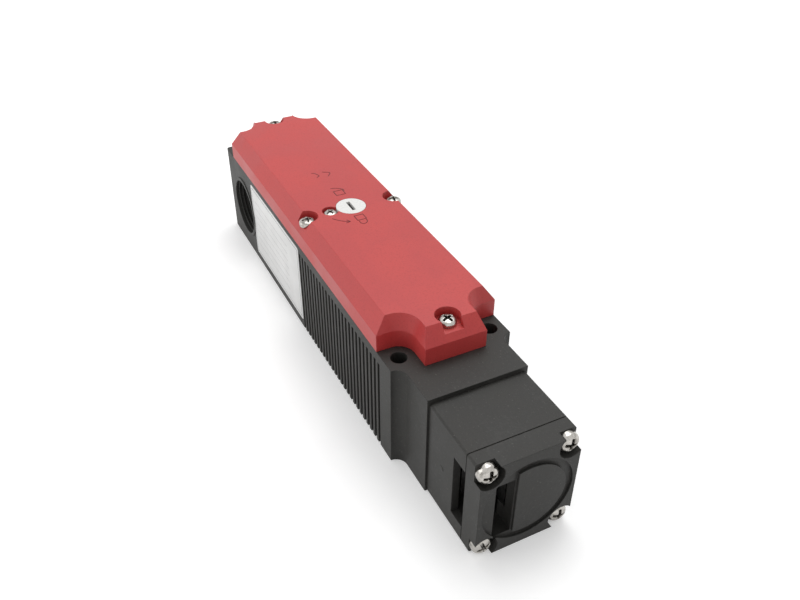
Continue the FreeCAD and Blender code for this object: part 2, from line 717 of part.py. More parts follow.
def make_head_housing():
    """The rear piece of the head: open at the front, with the side slot and the axle's bores."""
    part = Moulded("head_housing")
    part.pad("YZ", NECK_FRONT, [head_section(ZERO)], S.head_housing_length)
    room = HEAD_HALF - S.head_wall
    part.pocket("YZ", PARTING,
                [rectangle((-room, room), (S.head_floor, S.head_height - S.head_floor))],
                S.head_housing_length - S.head_wall)
    part.pocket("YZ", PARTING, [circle(ROD_Y, HEAD_AXIS, S.rod_radius + S.play)])
    holes = [circle(y, z, S.head_screw_radius + S.screw_play) for y, z in head_screw_places()]
    part.pocket("YZ", PARTING, holes)
    part.pocket("XZ", -HEAD_HALF,
                [rectangle((PARTING - S.slot_width, PARTING),
                           (S.slot_bottom, S.slot_bottom + S.slot_height))], S.head_wall)
    part.pocket("XY", ZERO, [circle(DRUM_X, ROD_Y, S.axle_radius)],
                S.head_height - S.axle_cover, True)
    keep(part.body, "head_housing")


def make_head_end_cap():
    """The front piece: the end slot beside a raised round panel, and four corner pockets."""
    part = Moulded("head_end_cap")
    part.pad("YZ", PARTING, [head_section(S.seam_depth)], S.seam_width)
    part.pad("YZ", PARTING + S.seam_width, [head_section(ZERO)], S.end_cap_length - S.seam_width)
    pockets = [circle(y, z, S.corner_pocket) for y, z in head_screw_places()]
    part.pocket("YZ", HEAD_END, pockets, S.corner_pocket_depth)
    widths = {-1: (-HEAD_HALF, -HEAD_SCREW_Y), 1: (HEAD_SCREW_Y, HEAD_HALF)}
    heights = {-1: (ZERO, S.head_screw_end), 1: (S.head_height - S.head_screw_end, S.head_height)}
    corners = [rectangle(widths[a], heights[b]) for a in SIDES for b in SIDES]
    part.pocket("YZ", HEAD_END, corners, S.corner_pocket_depth)
    holes = [circle(y, z, S.head_screw_radius + S.screw_play) for y, z in head_screw_places()]
    part.pocket("YZ", HEAD_END, holes)
    rise = (S.disc_radius * S.disc_radius - S.disc_chord * S.disc_chord).root()
    panel = [(-S.disc_chord, HEAD_AXIS - rise), (S.disc_radius, HEAD_AXIS, -S.disc_radius),
             (-S.disc_chord, HEAD_AXIS + rise, -S.disc_radius)]
    part.pocket("YZ", HEAD_END, [circle(ZERO, HEAD_AXIS, S.panel_radius), panel], S.panel_depth)
    half = S.slot_width / 2
    part.pocket("YZ", HEAD_END,
                [rectangle((-(S.end_slot_side + half), half - S.end_slot_side),
                           (S.slot_bottom, S.slot_bottom + S.end_slot_height))],
                S.end_cap_length)
    reach = S.drum_radius + S.drum_room
    rise = S.drum_height / 2 + S.drum_room
    part.pocket("YZ", PARTING, [rectangle((ROD_Y - reach, ROD_Y + reach),
                                          (HEAD_AXIS - rise, HEAD_AXIS + rise))],
                S.drum_recess, True)
    keep(part.body, "head_end_cap")


def make_head_screws():
    seat = HEAD_END - S.corner_pocket_depth
    head = (S.head_screw_head, S.head_screw_height)
    shank = (S.head_screw_radius, seat - NECK_FRONT + S.head_screw_grip)
    screws = [pan_screw(f"head_screw{n}", head, shank, (seat, y, z), "x")
              for n, (y, z) in enumerate(head_screw_places())]
    keep(group("head_screws", screws), "head_screws")


def make_head_seal():
    keep(tube("head_seal_ring", S.head_ring_radius, S.rod_bore, S.gasket_depth,
              (NECK_FRONT - S.gasket_depth, ROD_Y, HEAD_AXIS), "x"), "head_seal_ring")


# ------------------------------------------------------------------ cam drum and push rod

def make_cam_drum():
    """The drum that the tongue turns, on a long hub.

    It has a notch at each slot, and the quarter that the rod's nose follows falls away to an
    eccentric arc.
    """
    bottom = HEAD_AXIS - S.drum_height / 2
    round_body = bar("drum_round", S.drum_radius, S.drum_height, (DRUM_X, ROD_Y, bottom))
    eccentric = bar("drum_eccentric", S.cam_radius, S.drum_height,
                    (DRUM_X - S.cam_offset_x, ROD_Y - S.cam_offset_y, bottom))
    hub_bottom = S.head_floor + S.play
    hub_length = S.head_height - 2 * hub_bottom
    hub = bar("drum_hub", S.hub_radius, hub_length, (DRUM_X, ROD_Y, hub_bottom))
    bore = bar("drum_bore", S.axle_radius + S.running_fit, hub_length,
               (DRUM_X, ROD_Y, hub_bottom))
    height = (bottom, bottom + S.drum_height)
    near = S.drum_notch_start
    far = S.drum_notch_start + S.drum_notch_width
    floor = S.drum_notch_floor
    beyond = S.drum_radius + S.play
    quarter = block("cam_quarter", (DRUM_X - beyond, DRUM_X), (ROD_Y, ROD_Y + beyond), height)
    fall = cut("cam_fall", quarter, [eccentric])
    side_notch = block("side_notch", (DRUM_X + near, DRUM_X + far),
                       (ROD_Y - beyond, ROD_Y - floor), height)
    end_notch = block("end_notch", (DRUM_X + floor, DRUM_X + beyond),
                      (ROD_Y - far, ROD_Y - near), height)
    keep(cut("cam_drum", join("drum_body", [round_body, hub]),
             [bore, fall, side_notch, end_notch]), "cam_drum")


def make_drum_axle():
    length = S.head_height - S.axle_cover - S.axle_inset
    keep(bar("drum_axle", S.axle_radius, length, (DRUM_X, ROD_Y, S.axle_inset)), "drum_axle")


def make_push_rod():
    """The rod with its tapered nose at the drum and the notch for the lever's tip."""
    place = (ROD_TAIL, ROD_Y, HEAD_AXIS)
    straight = S.rod_length - S.nose_length
    shank = bar("rod_shank", S.rod_radius, straight, place, "x")
    nose = taper("rod_nose", S.rod_radius, S.nose_radius, S.nose_length,
                 along(place, "x", straight), "x")
    notch_start = TIP_X - S.rod_travel - S.play
    notch_end = TIP_X + S.tip_length - S.rod_travel + S.play
    notch = block("rod_notch", (notch_start, notch_end),
                  (ROD_Y - S.rod_radius, ROD_Y + S.rod_radius),
                  (ROD_TOP - S.lock_notch_depth, ROD_TOP))
    keep(cut("push_rod", join("rod_body", [shank, nose]), [notch]), "push_rod")


def make_rod_fittings():
    """The pieces that ride on the rod: the spring's collar and the arm for the contacts."""
    place = (COLLAR_X, ROD_Y, HEAD_AXIS)
    keep(tube("rod_collar", S.collar_radius, S.rod_radius, S.collar_length, place, "x"),
         "rod_collar")
    reach = S.rod_radius + S.arm_margin
    plate = block("arm_plate", (ROD_TAIL, ROD_TAIL + S.arm_thickness),
                  (GUARD_PLUNGER_Y - 2 * S.plunger_radius, ROD_Y + reach),
                  (HEAD_AXIS - reach, HEAD_AXIS + reach))
    hole = bar("arm_hole", S.rod_radius, S.arm_thickness, (ROD_TAIL, ROD_Y, HEAD_AXIS), "x")
    keep(cut("contact_arm", plate, [hole]), "contact_arm")


def make_rod_guides():
    """The bush and the lip seal that carry the rod in the neck."""
    inner = S.rod_radius + S.running_fit
    bush = (CAVITY_FRONT, ROD_Y, HEAD_AXIS)
    keep(tube("rod_bush", S.rod_bore, inner, S.bush_length, bush, "x"), "rod_bush")
    seal = along(bush, "x", S.bush_length + S.play)
    keep(tube("rod_seal", S.rod_bore, inner, S.seal_length, seal, "x"), "rod_seal")


def make_spring(label, inner, wire, turns, length, place, turn=UPRIGHT):
    """A close copy of a coil spring: a thin sleeve with one round bead for each coil."""
    part = Moulded(label)
    outer = inner + wire
    web = inner + wire * S.spring_web
    pitch = (length - wire) / (turns - 1)
    profile = [(length, inner)]
    for coil in reversed(range(turns)):
        start = pitch * coil
        profile += [(start + wire, outer), (start, outer)]
        if coil:
            profile += [(start, web), (start - pitch + wire, web)]
    part.turn(profile + [(ZERO, inner)])
    keep(put(part.body, place, turn), label)


# ------------------------------------------------------------------ solenoid and lock lever

def make_mechanism_plate():
    """The steel base of the mechanism, with the post that guides the rod."""
    part = Moulded("mechanism_plate")
    half = CAVITY_HALF - S.plate_margin
    part.pad("XY", S.floor_wall,
             [rectangle((WAIST_FRONT + S.plate_margin, CAVITY_FRONT - S.plate_margin),
                        (-half, half))], S.plate_thickness)
    reach = S.rod_radius + S.post_margin
    part.pad("XY", PLATE_TOP,
             [rectangle((POST_FRONT - S.post_thickness, POST_FRONT),
                        (ROD_Y - reach, S.lever_side - 2 * S.play))],
             HEAD_AXIS + reach - PLATE_TOP)
    part.pocket("YZ", POST_FRONT, [circle(ROD_Y, HEAD_AXIS, S.rod_radius + S.play)],
                S.post_thickness)
    part.pocket("XY", PLATE_TOP,
                [circle(x, y, S.block_screw_radius) for x, y in guard_screw_places()],
                S.plate_thickness)
    keep(part.body, "mechanism_plate")


def make_solenoid():
    """The open frame with its fixed core, the bobbin and the coil."""
    frame = Moulded("solenoid_yoke")
    wall = S.yoke_wall
    outside = rectangle((YOKE_X, YOKE_FRONT), (PLATE_TOP, YOKE_TOP))
    inside = rectangle((YOKE_X + wall, YOKE_FRONT - wall), (PLATE_TOP + wall, YOKE_TOP - wall))
    frame.pad("XZ", YOKE_SIDE, [outside, inside], S.yoke_width, True)
    axis = (S.solenoid_side, S.solenoid_axis)
    frame.pocket("YZ", YOKE_FRONT, [circle(*axis, COIL_BORE)], wall)
    frame.pad("YZ", YOKE_X + wall, [circle(*axis, S.armature_radius)], S.core_length)
    keep(frame.body, "solenoid_yoke")

    bobbin = Moulded("coil_bobbin")
    first = YOKE_X + wall
    last = YOKE_FRONT - wall
    tube_radius = COIL_BORE + S.bobbin_wall
    bobbin.turn([(first, COIL_BORE), (last, COIL_BORE), (last, S.coil_radius),
                 (last - S.bobbin_wall, S.coil_radius), (last - S.bobbin_wall, tube_radius),
                 (first + S.bobbin_wall, tube_radius), (first + S.bobbin_wall, S.coil_radius),
                 (first, S.coil_radius)])
    keep(put(bobbin.body, (ZERO,) + axis), "coil_bobbin")
    keep(tube("coil", S.coil_radius, tube_radius, last - first - 2 * S.bobbin_wall,
              (first + S.bobbin_wall,) + axis, "x"), "coil")


def make_armature():
    """The plunger of the solenoid; a cross pin in its flat end drives the lever."""
    place = (ARMATURE_X, S.solenoid_side, S.solenoid_axis)
    plunger = bar("armature_plunger", S.armature_radius, S.armature_length, place, "x")
    flange = bar("armature_flange", S.flange_radius, S.flange_thickness,
                 along(place, "x", S.armature_length), "x")
    half = S.fork_width / 2
    flat = block("armature_flat", (FORK_X, FORK_X + S.fork_length),
                 (S.solenoid_side - half, S.solenoid_side + half),
                 (S.solenoid_axis - half, S.solenoid_axis + half))
    hole = bar("armature_hole", S.cross_pin_radius, S.fork_width,
               (CROSS_PIN_X, S.solenoid_side - half, S.solenoid_axis), "y")
    keep(cut("armature", join("armature_body", [plunger, flange, flat]), [hole]), "armature")
    start = S.lever_side - S.play
    keep(bar("armature_pin", S.cross_pin_radius, S.solenoid_side + half - start,
             (CROSS_PIN_X, start, S.solenoid_axis), "y"), "armature_pin")


def make_lock_lever():
    """The bent lever: slotted leg at the armature, tip over the rod, long arm to the release."""
    part = Moulded("lock_lever")
    leg_rear = CROSS_PIN_X - S.lever_leg / 2
    leg_front = leg_rear + S.lever_leg
    leg_bottom = S.solenoid_axis - S.leg_foot
    arm_top = LEVER_BOTTOM + S.lever_band
    boss = S.pivot_boss
    outline = [(TIP_X, TIP_Z), (leg_rear, TIP_Z), (leg_rear, leg_bottom),
               (leg_front, leg_bottom), (leg_front, S.pivot_height - S.lever_knee),
               (PIVOT_X + boss, S.pivot_height), (PIVOT_X, S.pivot_height + boss, -boss),
               (leg_rear, arm_top), (PIVOT_X - S.lever_length, arm_top),
               (PIVOT_X - S.lever_length, LEVER_BOTTOM), (leg_rear, LEVER_BOTTOM),
               (leg_rear, TIP_Z + S.tip_height), (TIP_X, TIP_Z + S.tip_height)]
    part.pad("XZ", S.lever_side, [outline], S.lever_thickness, True)
    part.pad("XZ", S.lever_side,
             [rectangle((TIP_X, TIP_X + S.tip_length), (TIP_Z, TIP_Z + S.tip_height))],
             S.lever_side + S.tip_reach)
    part.pocket("XZ", ZERO, [circle(PIVOT_X, S.pivot_height, S.pivot_radius + S.running_fit)])
    half = S.cross_pin_radius + S.play
    slot = rounded((CROSS_PIN_X - half, CROSS_PIN_X + half),
                   (S.solenoid_axis - half - S.slot_rise, S.solenoid_axis + half),
                   S.slot_rounding)
    part.pocket("XZ", ZERO, [slot])
    keep(part.body, "lock_lever")


def make_lever_bracket():
    """The angle bracket on the solenoid frame that carries the lever's pivot pin."""
    part = Moulded("lever_bracket")
    part.pad("XY", YOKE_TOP, [rectangle((YOKE_X + S.bracket_setback, YOKE_FRONT),
                                        (BRACKET_SIDE, BRACKET_SIDE + S.bracket_foot))],
             S.bracket_thickness)
    ear = PIVOT_X + S.bracket_margin
    top = S.pivot_height + S.bracket_margin
    web = [(YOKE_FRONT - S.bracket_root, YOKE_TOP), (YOKE_FRONT, YOKE_TOP),
           (ear, S.pivot_height - S.bracket_margin), (ear, top),
           (PIVOT_X - S.bracket_margin, top)]
    part.pad("XZ", BRACKET_SIDE, [web], S.bracket_thickness, True)
    part.pocket("XZ", ZERO, [circle(PIVOT_X, S.pivot_height, S.pivot_radius)])
    keep(part.body, "lever_bracket")


def make_lever_pin():
    """The pivot pin, headed behind the bracket, with a retaining ring before the lever."""
    ring_side = S.lever_side - S.play - S.pivot_head_length
    start = ring_side - S.pin_overhang
    end = BRACKET_SIDE + S.bracket_thickness
    shank = bar("pin_shank", S.pivot_radius, end - start, (PIVOT_X, start, S.pivot_height), "y")
    head = bar("pin_head", S.pivot_head, S.pivot_head_length, (PIVOT_X, end, S.pivot_height), "y")
    keep(join("lever_pin", [shank, head]), "lever_pin")
    keep(tube("lever_ring", S.pivot_head, S.pivot_radius, S.pivot_head_length,
              (PIVOT_X, ring_side, S.pivot_height), "y"), "lever_ring")


# ------------------------------------------------------------------ contacts and terminals

def make_guard_contacts():
    """The contact block that the rod's arm works, with its plunger and screws."""
    part = Moulded("guard_contact_block")
    front = GUARD_BLOCK_X + S.guard_block_length
    top = PLATE_TOP + S.guard_block_height
    part.pad("XY", PLATE_TOP, [rectangle((GUARD_BLOCK_X, front),
                                         (GUARD_BLOCK_Y, GUARD_BLOCK_Y + S.guard_block_width))],
             S.guard_block_height)
    tip = ROD_TAIL - S.play
    rear = tip - S.guard_plunger_length
    part.pocket("YZ", front,
                [circle(GUARD_PLUNGER_Y, HEAD_AXIS, S.plunger_radius + S.running_fit)],
                front - rear + S.play)
    part.pocket("XY", top, [circle(x, y, S.block_screw_radius) for x, y in guard_screw_places()])
    keep(part.body, "guard_contact_block")

    place = (rear, GUARD_PLUNGER_Y, HEAD_AXIS)
    straight = S.guard_plunger_length - S.plunger_tip_length
    keep(join("guard_plunger", [
        bar("guard_plunger_bar", S.plunger_radius, straight, place, "x"),
        taper("guard_plunger_tip", S.plunger_radius, S.plunger_tip, S.plunger_tip_length,
              along(place, "x", straight), "x")]), "guard_plunger")

    head = (S.block_screw_head, S.block_screw_height)
    shank = (S.block_screw_radius, top - S.floor_wall)
    screws = [pan_screw(f"block_screw{n}", head, shank, (x, y, top), "z")
              for n, (x, y) in enumerate(guard_screw_places())]
    keep(group("block_screws", screws), "block_screws")


def make_lock_contacts():
    """The contact block under the lever's arm, with its plunger."""
    part = Moulded("lock_contact_block")
    start = FRONT - S.lock_block_back
    half = S.lock_block_width / 2
    part.pad("XY", FOOT_TOP, [rectangle((start, start + S.lock_block_length),
                                        (S.lock_block_side - half, S.lock_block_side + half))],
             LOCK_BLOCK_TOP - FOOT_TOP)
    x = PIVOT_X - S.lock_plunger_place
    y = S.lever_side + S.lever_thickness / 2
    bottom = FOOT_TOP + S.lock_plunger_floor
    part.pocket("XY", LOCK_BLOCK_TOP, [circle(x, y, S.plunger_radius + S.running_fit)],
                LOCK_BLOCK_TOP - bottom + S.play)
    keep(part.body, "lock_contact_block")

    straight = LEVER_BOTTOM - S.play - bottom - S.plunger_tip_length
    keep(join("lock_plunger", [
        bar("lock_plunger_bar", S.plunger_radius, straight, (x, y, bottom)),
        taper("lock_plunger_tip", S.plunger_radius, S.plunger_tip, S.plunger_tip_length,
              (x, y, bottom + straight))]), "lock_plunger")


def make_terminals():
    """The stepped terminal block with its clamp screws."""
    part = Moulded("terminal_block")
    half = S.terminal_width / 2
    ridge = S.terminal_ridge / 2
    floor = S.floor_wall
    top = floor + S.terminal_height
    step = top - S.terminal_step
    section = [(-half, floor), (half, floor), (half, step), (ridge, step), (ridge, top),
               (-ridge, top), (-ridge, step), (-half, step)]
    part.pad("YZ", TERMINAL_REAR, [section], TERMINAL_FRONT - TERMINAL_REAR)
    first, length = terminal_row()
    wells = [circle(first, side * S.terminal_row, S.terminal_screw + S.screw_play)
             for side in SIDES]
    well = part.pocket("XY", step, wells, S.terminal_screw_length)
    part.row_along_x(well, S.terminal_count, length)
    wire = part.pocket("XZ", ZERO, [circle(first, floor + S.wire_axis, S.wire_radius)])
    part.row_along_x(wire, S.terminal_count, length)
    keep(part.body, "terminal_block")

    count = int(S.terminal_count.value)
    screws = [bar(f"terminal_screw{n}", S.terminal_screw, S.terminal_screw_length,
                  (first + n // 2 / (count - 1) * length, SIDES[n % 2] * S.terminal_row,
                   step - S.terminal_screw_length)) for n in range(2 * count)]
    keep(group("terminal_screws", screws), "terminal_screws")


# ------------------------------------------------------------------ assembly

make_housing()
make_gasket()
make_blanking_plug("side_plug", (ENTRY_X, HALF, S.entry_axis), 1)
make_blanking_plug("end_plug", (REAR, ZERO, S.entry_axis), 2)
make_plug_seals()
make_cover()
make_cover_screws()
make_seal_screw()
make_release_spindle()
make_release_seal_and_clip()
make_head_housing()
make_head_end_cap()
make_head_screws()
make_head_seal()
make_cam_drum()
make_drum_axle()
make_push_rod()
make_rod_fittings()
make_rod_guides()
make_spring("rod_spring", S.rod_radius + S.play, S.spring_wire, 5, S.rod_spring_length,
            (POST_FRONT, ROD_Y, HEAD_AXIS))
make_mechanism_plate()
make_solenoid()
make_armature()
make_lock_lever()
make_lever_bracket()
make_lever_pin()
make_spring("lock_spring", S.lock_spring_radius - S.lock_spring_wire, S.lock_spring_wire, 7,
            LEVER_BOTTOM - YOKE_TOP,
            (PIVOT_X - S.lock_spring_place, S.lever_side + S.lever_thickness / 2, YOKE_TOP),
            Rotation(Vector(0, 1, 0), -90))
make_guard_contacts()
make_lock_contacts()
make_terminals()

doc.recompute()
for item in doc.Objects:
    if "Invalid" in item.State or "Error" in item.State:
        raise RuntimeError(f"{item.Label} did not compute: {item.State}")
for item in NODES:
    if item.Shape.isNull() or not item.Shape.isValid():
        raise RuntimeError(f"{item.Label} has no valid shape")
os.makedirs("parts", exist_ok=True)
for item in NODES:
    item.Shape.exportStep(f"parts/{item.Label}.step")
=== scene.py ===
"""The looks of a tongue interlock switch with guard locking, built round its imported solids.

Every length is in metres, in the frame of the solids: +X along the switch to the actuator head, +Z out of
the mounting face through the cover, and the origin between the four mounting holes on the mounting face.
"""

import json
import logging
import math
from dataclasses import dataclass
from enum import Enum

import bpy
import numpy as np
from mathutils import Matrix, Vector


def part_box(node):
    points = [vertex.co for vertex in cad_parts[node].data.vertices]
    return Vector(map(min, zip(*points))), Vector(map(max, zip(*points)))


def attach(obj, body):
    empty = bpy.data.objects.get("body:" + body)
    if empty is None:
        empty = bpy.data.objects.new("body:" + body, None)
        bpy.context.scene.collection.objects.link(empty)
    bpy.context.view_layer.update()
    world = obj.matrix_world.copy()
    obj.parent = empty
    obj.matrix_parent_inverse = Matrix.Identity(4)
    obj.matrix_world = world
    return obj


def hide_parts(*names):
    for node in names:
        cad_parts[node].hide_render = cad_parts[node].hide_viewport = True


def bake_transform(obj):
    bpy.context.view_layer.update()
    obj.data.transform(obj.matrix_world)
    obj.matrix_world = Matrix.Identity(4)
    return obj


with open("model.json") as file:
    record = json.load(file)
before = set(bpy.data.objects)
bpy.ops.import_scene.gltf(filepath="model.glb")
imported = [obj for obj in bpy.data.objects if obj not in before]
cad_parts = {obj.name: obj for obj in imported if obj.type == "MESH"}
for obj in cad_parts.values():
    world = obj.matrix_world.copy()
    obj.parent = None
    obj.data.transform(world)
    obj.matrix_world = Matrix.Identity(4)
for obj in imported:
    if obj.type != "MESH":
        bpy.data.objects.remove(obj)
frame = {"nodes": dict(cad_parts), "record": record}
LOG = logging.getLogger("interlock_switch")
MM = 0.001
TURN = 2.0 * math.pi
Colour = tuple[float, float, float]
Point = tuple[float, float, float]
Socket = bpy.types.NodeSocket
Material = bpy.types.Material
ENTRY_RIM = 0.35 * MM
DISC_RADIUS = 5.45 * MM
WHITE = (1.0, 1.0, 1.0, 1.0)


# ---- meshes

@dataclass(frozen=True)
class Shape:
    """A mesh as arrays: its points, and faces that may mix quads and triangles."""

    points: np.ndarray
    quads: np.ndarray
    triangles: np.ndarray

    def outward(self) -> "Shape":
        """Turn every face over if the closed surface holds a negative volume.

        The volume is the sum, over all triangles, of the triple product of the corners over six.

        Returns:
            The same surface with its faces outwards.
        """
        halves = np.concatenate([self.quads[:, [0, 1, 2]], self.quads[:, [0, 2, 3]], self.triangles])
        a, b, c = (self.points[halves[:, i]] for i in range(3))
        if np.einsum("ij,ij->i", a, np.cross(b, c)).sum() >= 0:
            return self
        return Shape(self.points, self.quads[:, ::-1], self.triangles[:, ::-1])

    def moved(self, turn: np.ndarray, place: np.ndarray) -> "Shape":
        """The surface turned by a 3 by 3 rotation matrix, with its origin then set at a place."""
        return Shape(self.points @ turn.T + place, self.quads, self.triangles)


def woven(rows: np.ndarray, first: np.ndarray | None = None, last: np.ndarray | None = None,
          ring: bool = False) -> Shape:
    """Join rings of points into a closed surface.

    Point (i, j) is joined to (i, j + 1), (i + 1, j + 1) and (i + 1, j), where j runs round the ring.

    Args:
        rows: The points, as rows by columns by 3, where each row is a closed ring.
        first: A pole that closes the first ring, if there is one.
        last: A pole that closes the last ring, if there is one.
        ring: Whether the last ring is joined to the first one, as on a torus.

    Returns:
        The closed surface with its faces outwards.
    """
    height, width = rows.shape[:2]
    points = [rows.reshape(-1, 3)]
    i = np.arange(height if ring else height - 1)[:, None]
    j = np.arange(width)[None, :]
    here, above = i * width, (i + 1) % height * width
    after = (j + 1) % width
    quads = np.stack([here + j, here + after, above + after, above + j], axis=-1).reshape(-1, 4)
    fans = []
    across = np.arange(width)
    for pole, row, flip in ((first, 0, True), (last, height - 1, False)):
        if pole is not None:
            tip = np.full(width, sum(len(p) for p in points))
            edge = [row * width + across, row * width + (across + 1) % width]
            fans.append(np.stack([tip] + (edge[::-1] if flip else edge), axis=-1))
            points.append(np.asarray(pole, float).reshape(1, 3))
    triangles = np.concatenate(fans) if fans else np.zeros((0, 3), int)
    return Shape(np.concatenate(points), quads, triangles).outward()


def together(shapes: list[Shape]) -> Shape:
    """Several separate surfaces as the parts of one mesh.

    Args:
        shapes: The surfaces.

    Returns:
        One shape that holds them all.
    """
    starts = np.cumsum([0] + [len(s.points) for s in shapes[:-1]])
    return Shape(np.concatenate([s.points for s in shapes]),
                 np.concatenate([s.quads + n for s, n in zip(shapes, starts)]),
                 np.concatenate([s.triangles + n for s, n in zip(shapes, starts)]))


def box_of(node: str) -> tuple[np.ndarray, np.ndarray, np.ndarray]:
    """The lowest corner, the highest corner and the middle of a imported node's box."""
    low, high = (np.array(end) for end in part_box(node))
    return low, high, (low + high) / 2


def circle_of(count: int) -> tuple[np.ndarray, np.ndarray]:
    """The cosines and the sines of a count of equally spaced angles round a circle."""
    angle = np.arange(count) * (TURN / count)
    return np.cos(angle), np.sin(angle)


def carried(path: np.ndarray, up: np.ndarray, width: np.ndarray, height: np.ndarray,
            columns: int, closed: bool) -> Shape:
    """Carry an oval section along a path.

    At each point the section's long half axis lies along the cross product of up and the path's own
    direction, and its other half axis lies along up: point = path + width cos(a) side + height sin(a) up.

    Args:
        path: The points of the path, n by 3.
        up: The direction of the section's height at each point, n by 3.
        width: The section's half width at each point.
        height: The section's half height at each point.
        columns: The number of points round the section.
        closed: Whether the path comes back to its first point.

    Returns:
        The closed surface.
    """
    if closed:
        along = np.roll(path, -1, axis=0) - np.roll(path, 1, axis=0)
    else:
        along = np.gradient(path, axis=0)
    along /= np.linalg.norm(along, axis=1, keepdims=True)
    side = np.cross(up, along)
    side /= np.linalg.norm(side, axis=1, keepdims=True)
    cos, sin = circle_of(columns)
    rows = (path[:, None, :] + (width[:, None] * cos)[:, :, None] * side[:, None, :]
            + (height[:, None] * sin)[:, :, None] * up[:, None, :])
    if closed:
        return woven(rows, ring=True)
    return woven(rows, path[0], path[-1])


def turned(radii: np.ndarray, heights: np.ndarray, columns: int, ring: bool = False) -> Shape:
    """Turn a profile about the Z axis: point = (radius cos(a), radius sin(a), height).

    Args:
        radii: The profile's radii; a solid turning starts and ends at radius 0.
        heights: The profile's heights.
        columns: The number of points round the axis.
        ring: Whether the profile is a closed loop round a hole.

    Returns:
        The closed surface.
    """
    cos, sin = circle_of(columns)
    rows = np.stack([radii[:, None] * cos, radii[:, None] * sin,
                     np.broadcast_to(heights[:, None], (len(radii), columns))], axis=-1)
    if ring:
        return woven(rows, ring=True)
    return woven(rows[1:-1], rows[0, 0], rows[-1, 0])


class Facing(Enum):
    """The direction that a turned piece's own axis takes in the switch."""

    UP = "up"
    FORWARD = "forward"
    LEFT = "left"

    def turn(self, clock: float) -> np.ndarray:
        """The rotation to this direction after a turn about the piece's own axis.

        Args:
            clock: The turn about the piece's own axis, in radians.

        Returns:
            A rotation matrix, 3 by 3.
        """
        own = Matrix.Rotation(clock, 3, "Z")
        if self is Facing.FORWARD:
            own = Matrix.Rotation(TURN / 4, 3, "Y") @ own
        if self is Facing.LEFT:
            own = Matrix.Rotation(TURN / 4, 3, "X") @ own
        return np.array(own)


# ---- finishes

class Graph:
    """The nodes of one material, with short calls for the ones that every finish needs."""

    def __init__(self, name: str, world: bool = False) -> None:
        """Make a material and keep its Principled shader, or make an empty world.

        Args:
            name: The name of the material or world.
            world: Whether it is a world.
        """
        self.material = (bpy.data.worlds if world else bpy.data.materials).new(name)
        self.material.use_nodes = True
        self.tree = self.material.node_tree
        if world:
            self.tree.nodes.clear()
        self.shader = self.tree.nodes.get("Principled BSDF")

    def add(self, kind: str, inputs: dict[str | int, object] | None = None,
            **settings: object) -> bpy.types.Node:
        """Add a node, set its properties and feed its inputs.

        Args:
            kind: The node's type without the word ShaderNode.
            inputs: The value of each input by its name or number.
            settings: Properties of the node and their values.

        Returns:
            The new node.
        """
        node = self.tree.nodes.new("ShaderNode" + kind)
        for key, value in settings.items():
            setattr(node, key, value)
        self.feed(node, inputs or {})
        return node

    def feed(self, node: bpy.types.Node, inputs: dict[str | int, object]) -> None:
        """Link each input of a node to an output, or set it to a plain value.

        Args:
            node: The node.
            inputs: An output socket, a number or a tuple for each input by its name or number.
        """
        for key, value in inputs.items():
            if isinstance(value, Socket):
                self.tree.links.new(value, node.inputs[key])
            else:
                node.inputs[key].default_value = value

    def millimetres(self, stretch: Point = (1.0, 1.0, 1.0)) -> Socket:
        """Object coordinates in millimetres; a stretch under 1 draws a pattern out along its axis."""
        return self.add("Mapping", {"Vector": self.add("TexCoord").outputs["Object"],
                                    "Scale": tuple(s / MM for s in stretch)}).outputs["Vector"]

    def noise(self, where: Socket, per_mm: float, detail: float = 2.0, roughness: float = 0.5) -> Socket:
        """A noise with its cells per millimetre, its number of finer layers and their strength."""
        return self.add("TexNoise", {"Vector": where, "Scale": per_mm, "Detail": detail,
                                     "Roughness": roughness}).outputs["Fac"]

    def span(self, value: Socket, low: float, high: float, to_low: float, to_high: float) -> Socket:
        """Map the range low to high to another one, clamped and smooth at both ends."""
        return self.add("MapRange", dict(enumerate((value, low, high, to_low, to_high))),
                        interpolation_type="SMOOTHSTEP").outputs["Result"]

    def maths(self, operation: str, *values: object) -> Socket:
        """One step of arithmetic on outputs of nodes or numbers."""
        return self.add("Math", dict(enumerate(values)), operation=operation).outputs[0]

    def blend(self, share: Socket, first: object, second: object) -> Socket:
        """Mix two colours or outputs, by the share of the second one."""
        pair = [c if isinstance(c, Socket) else (*c, 1.0) for c in (first, second)]
        return self.add("Mix", {"Factor": share, 6: pair[0], 7: pair[1]}, data_type="RGBA").outputs[2]

    def surface(self, colour: object, roughness: object, height: Socket, depth: float,
                edge_radius: float) -> Material:
        """Give the shader its colour and gloss, and a relief over softened edges.

        Args:
            colour: The base colour.
            roughness: The roughness.
            height: The relief's height, from 0 to 1.
            depth: The relief's depth in millimetres.
            edge_radius: The radius in millimetres with which the normals run round each edge.

        Returns:
            The finished material.
        """
        rounded = self.add("Bevel", {"Radius": edge_radius * MM}, samples=4).outputs["Normal"]
        relief = self.add("Bump", {"Strength": 1.0, "Distance": depth * MM, "Height": height,
                                   "Normal": rounded}).outputs["Normal"]
        self.feed(self.shader, {"Base Color": colour, "Roughness": roughness, "Normal": relief})
        return self.material

    def background(self) -> Socket:
        """1 where a ray comes from the camera, a mirror or a clear piece, and 0 where it only lights."""
        path = self.add("LightPath")
        mirrored = self.maths("MAXIMUM", path.outputs["Is Glossy Ray"],
                              path.outputs["Is Transmission Ray"])
        return self.maths("MAXIMUM", path.outputs["Is Camera Ray"], mirrored)


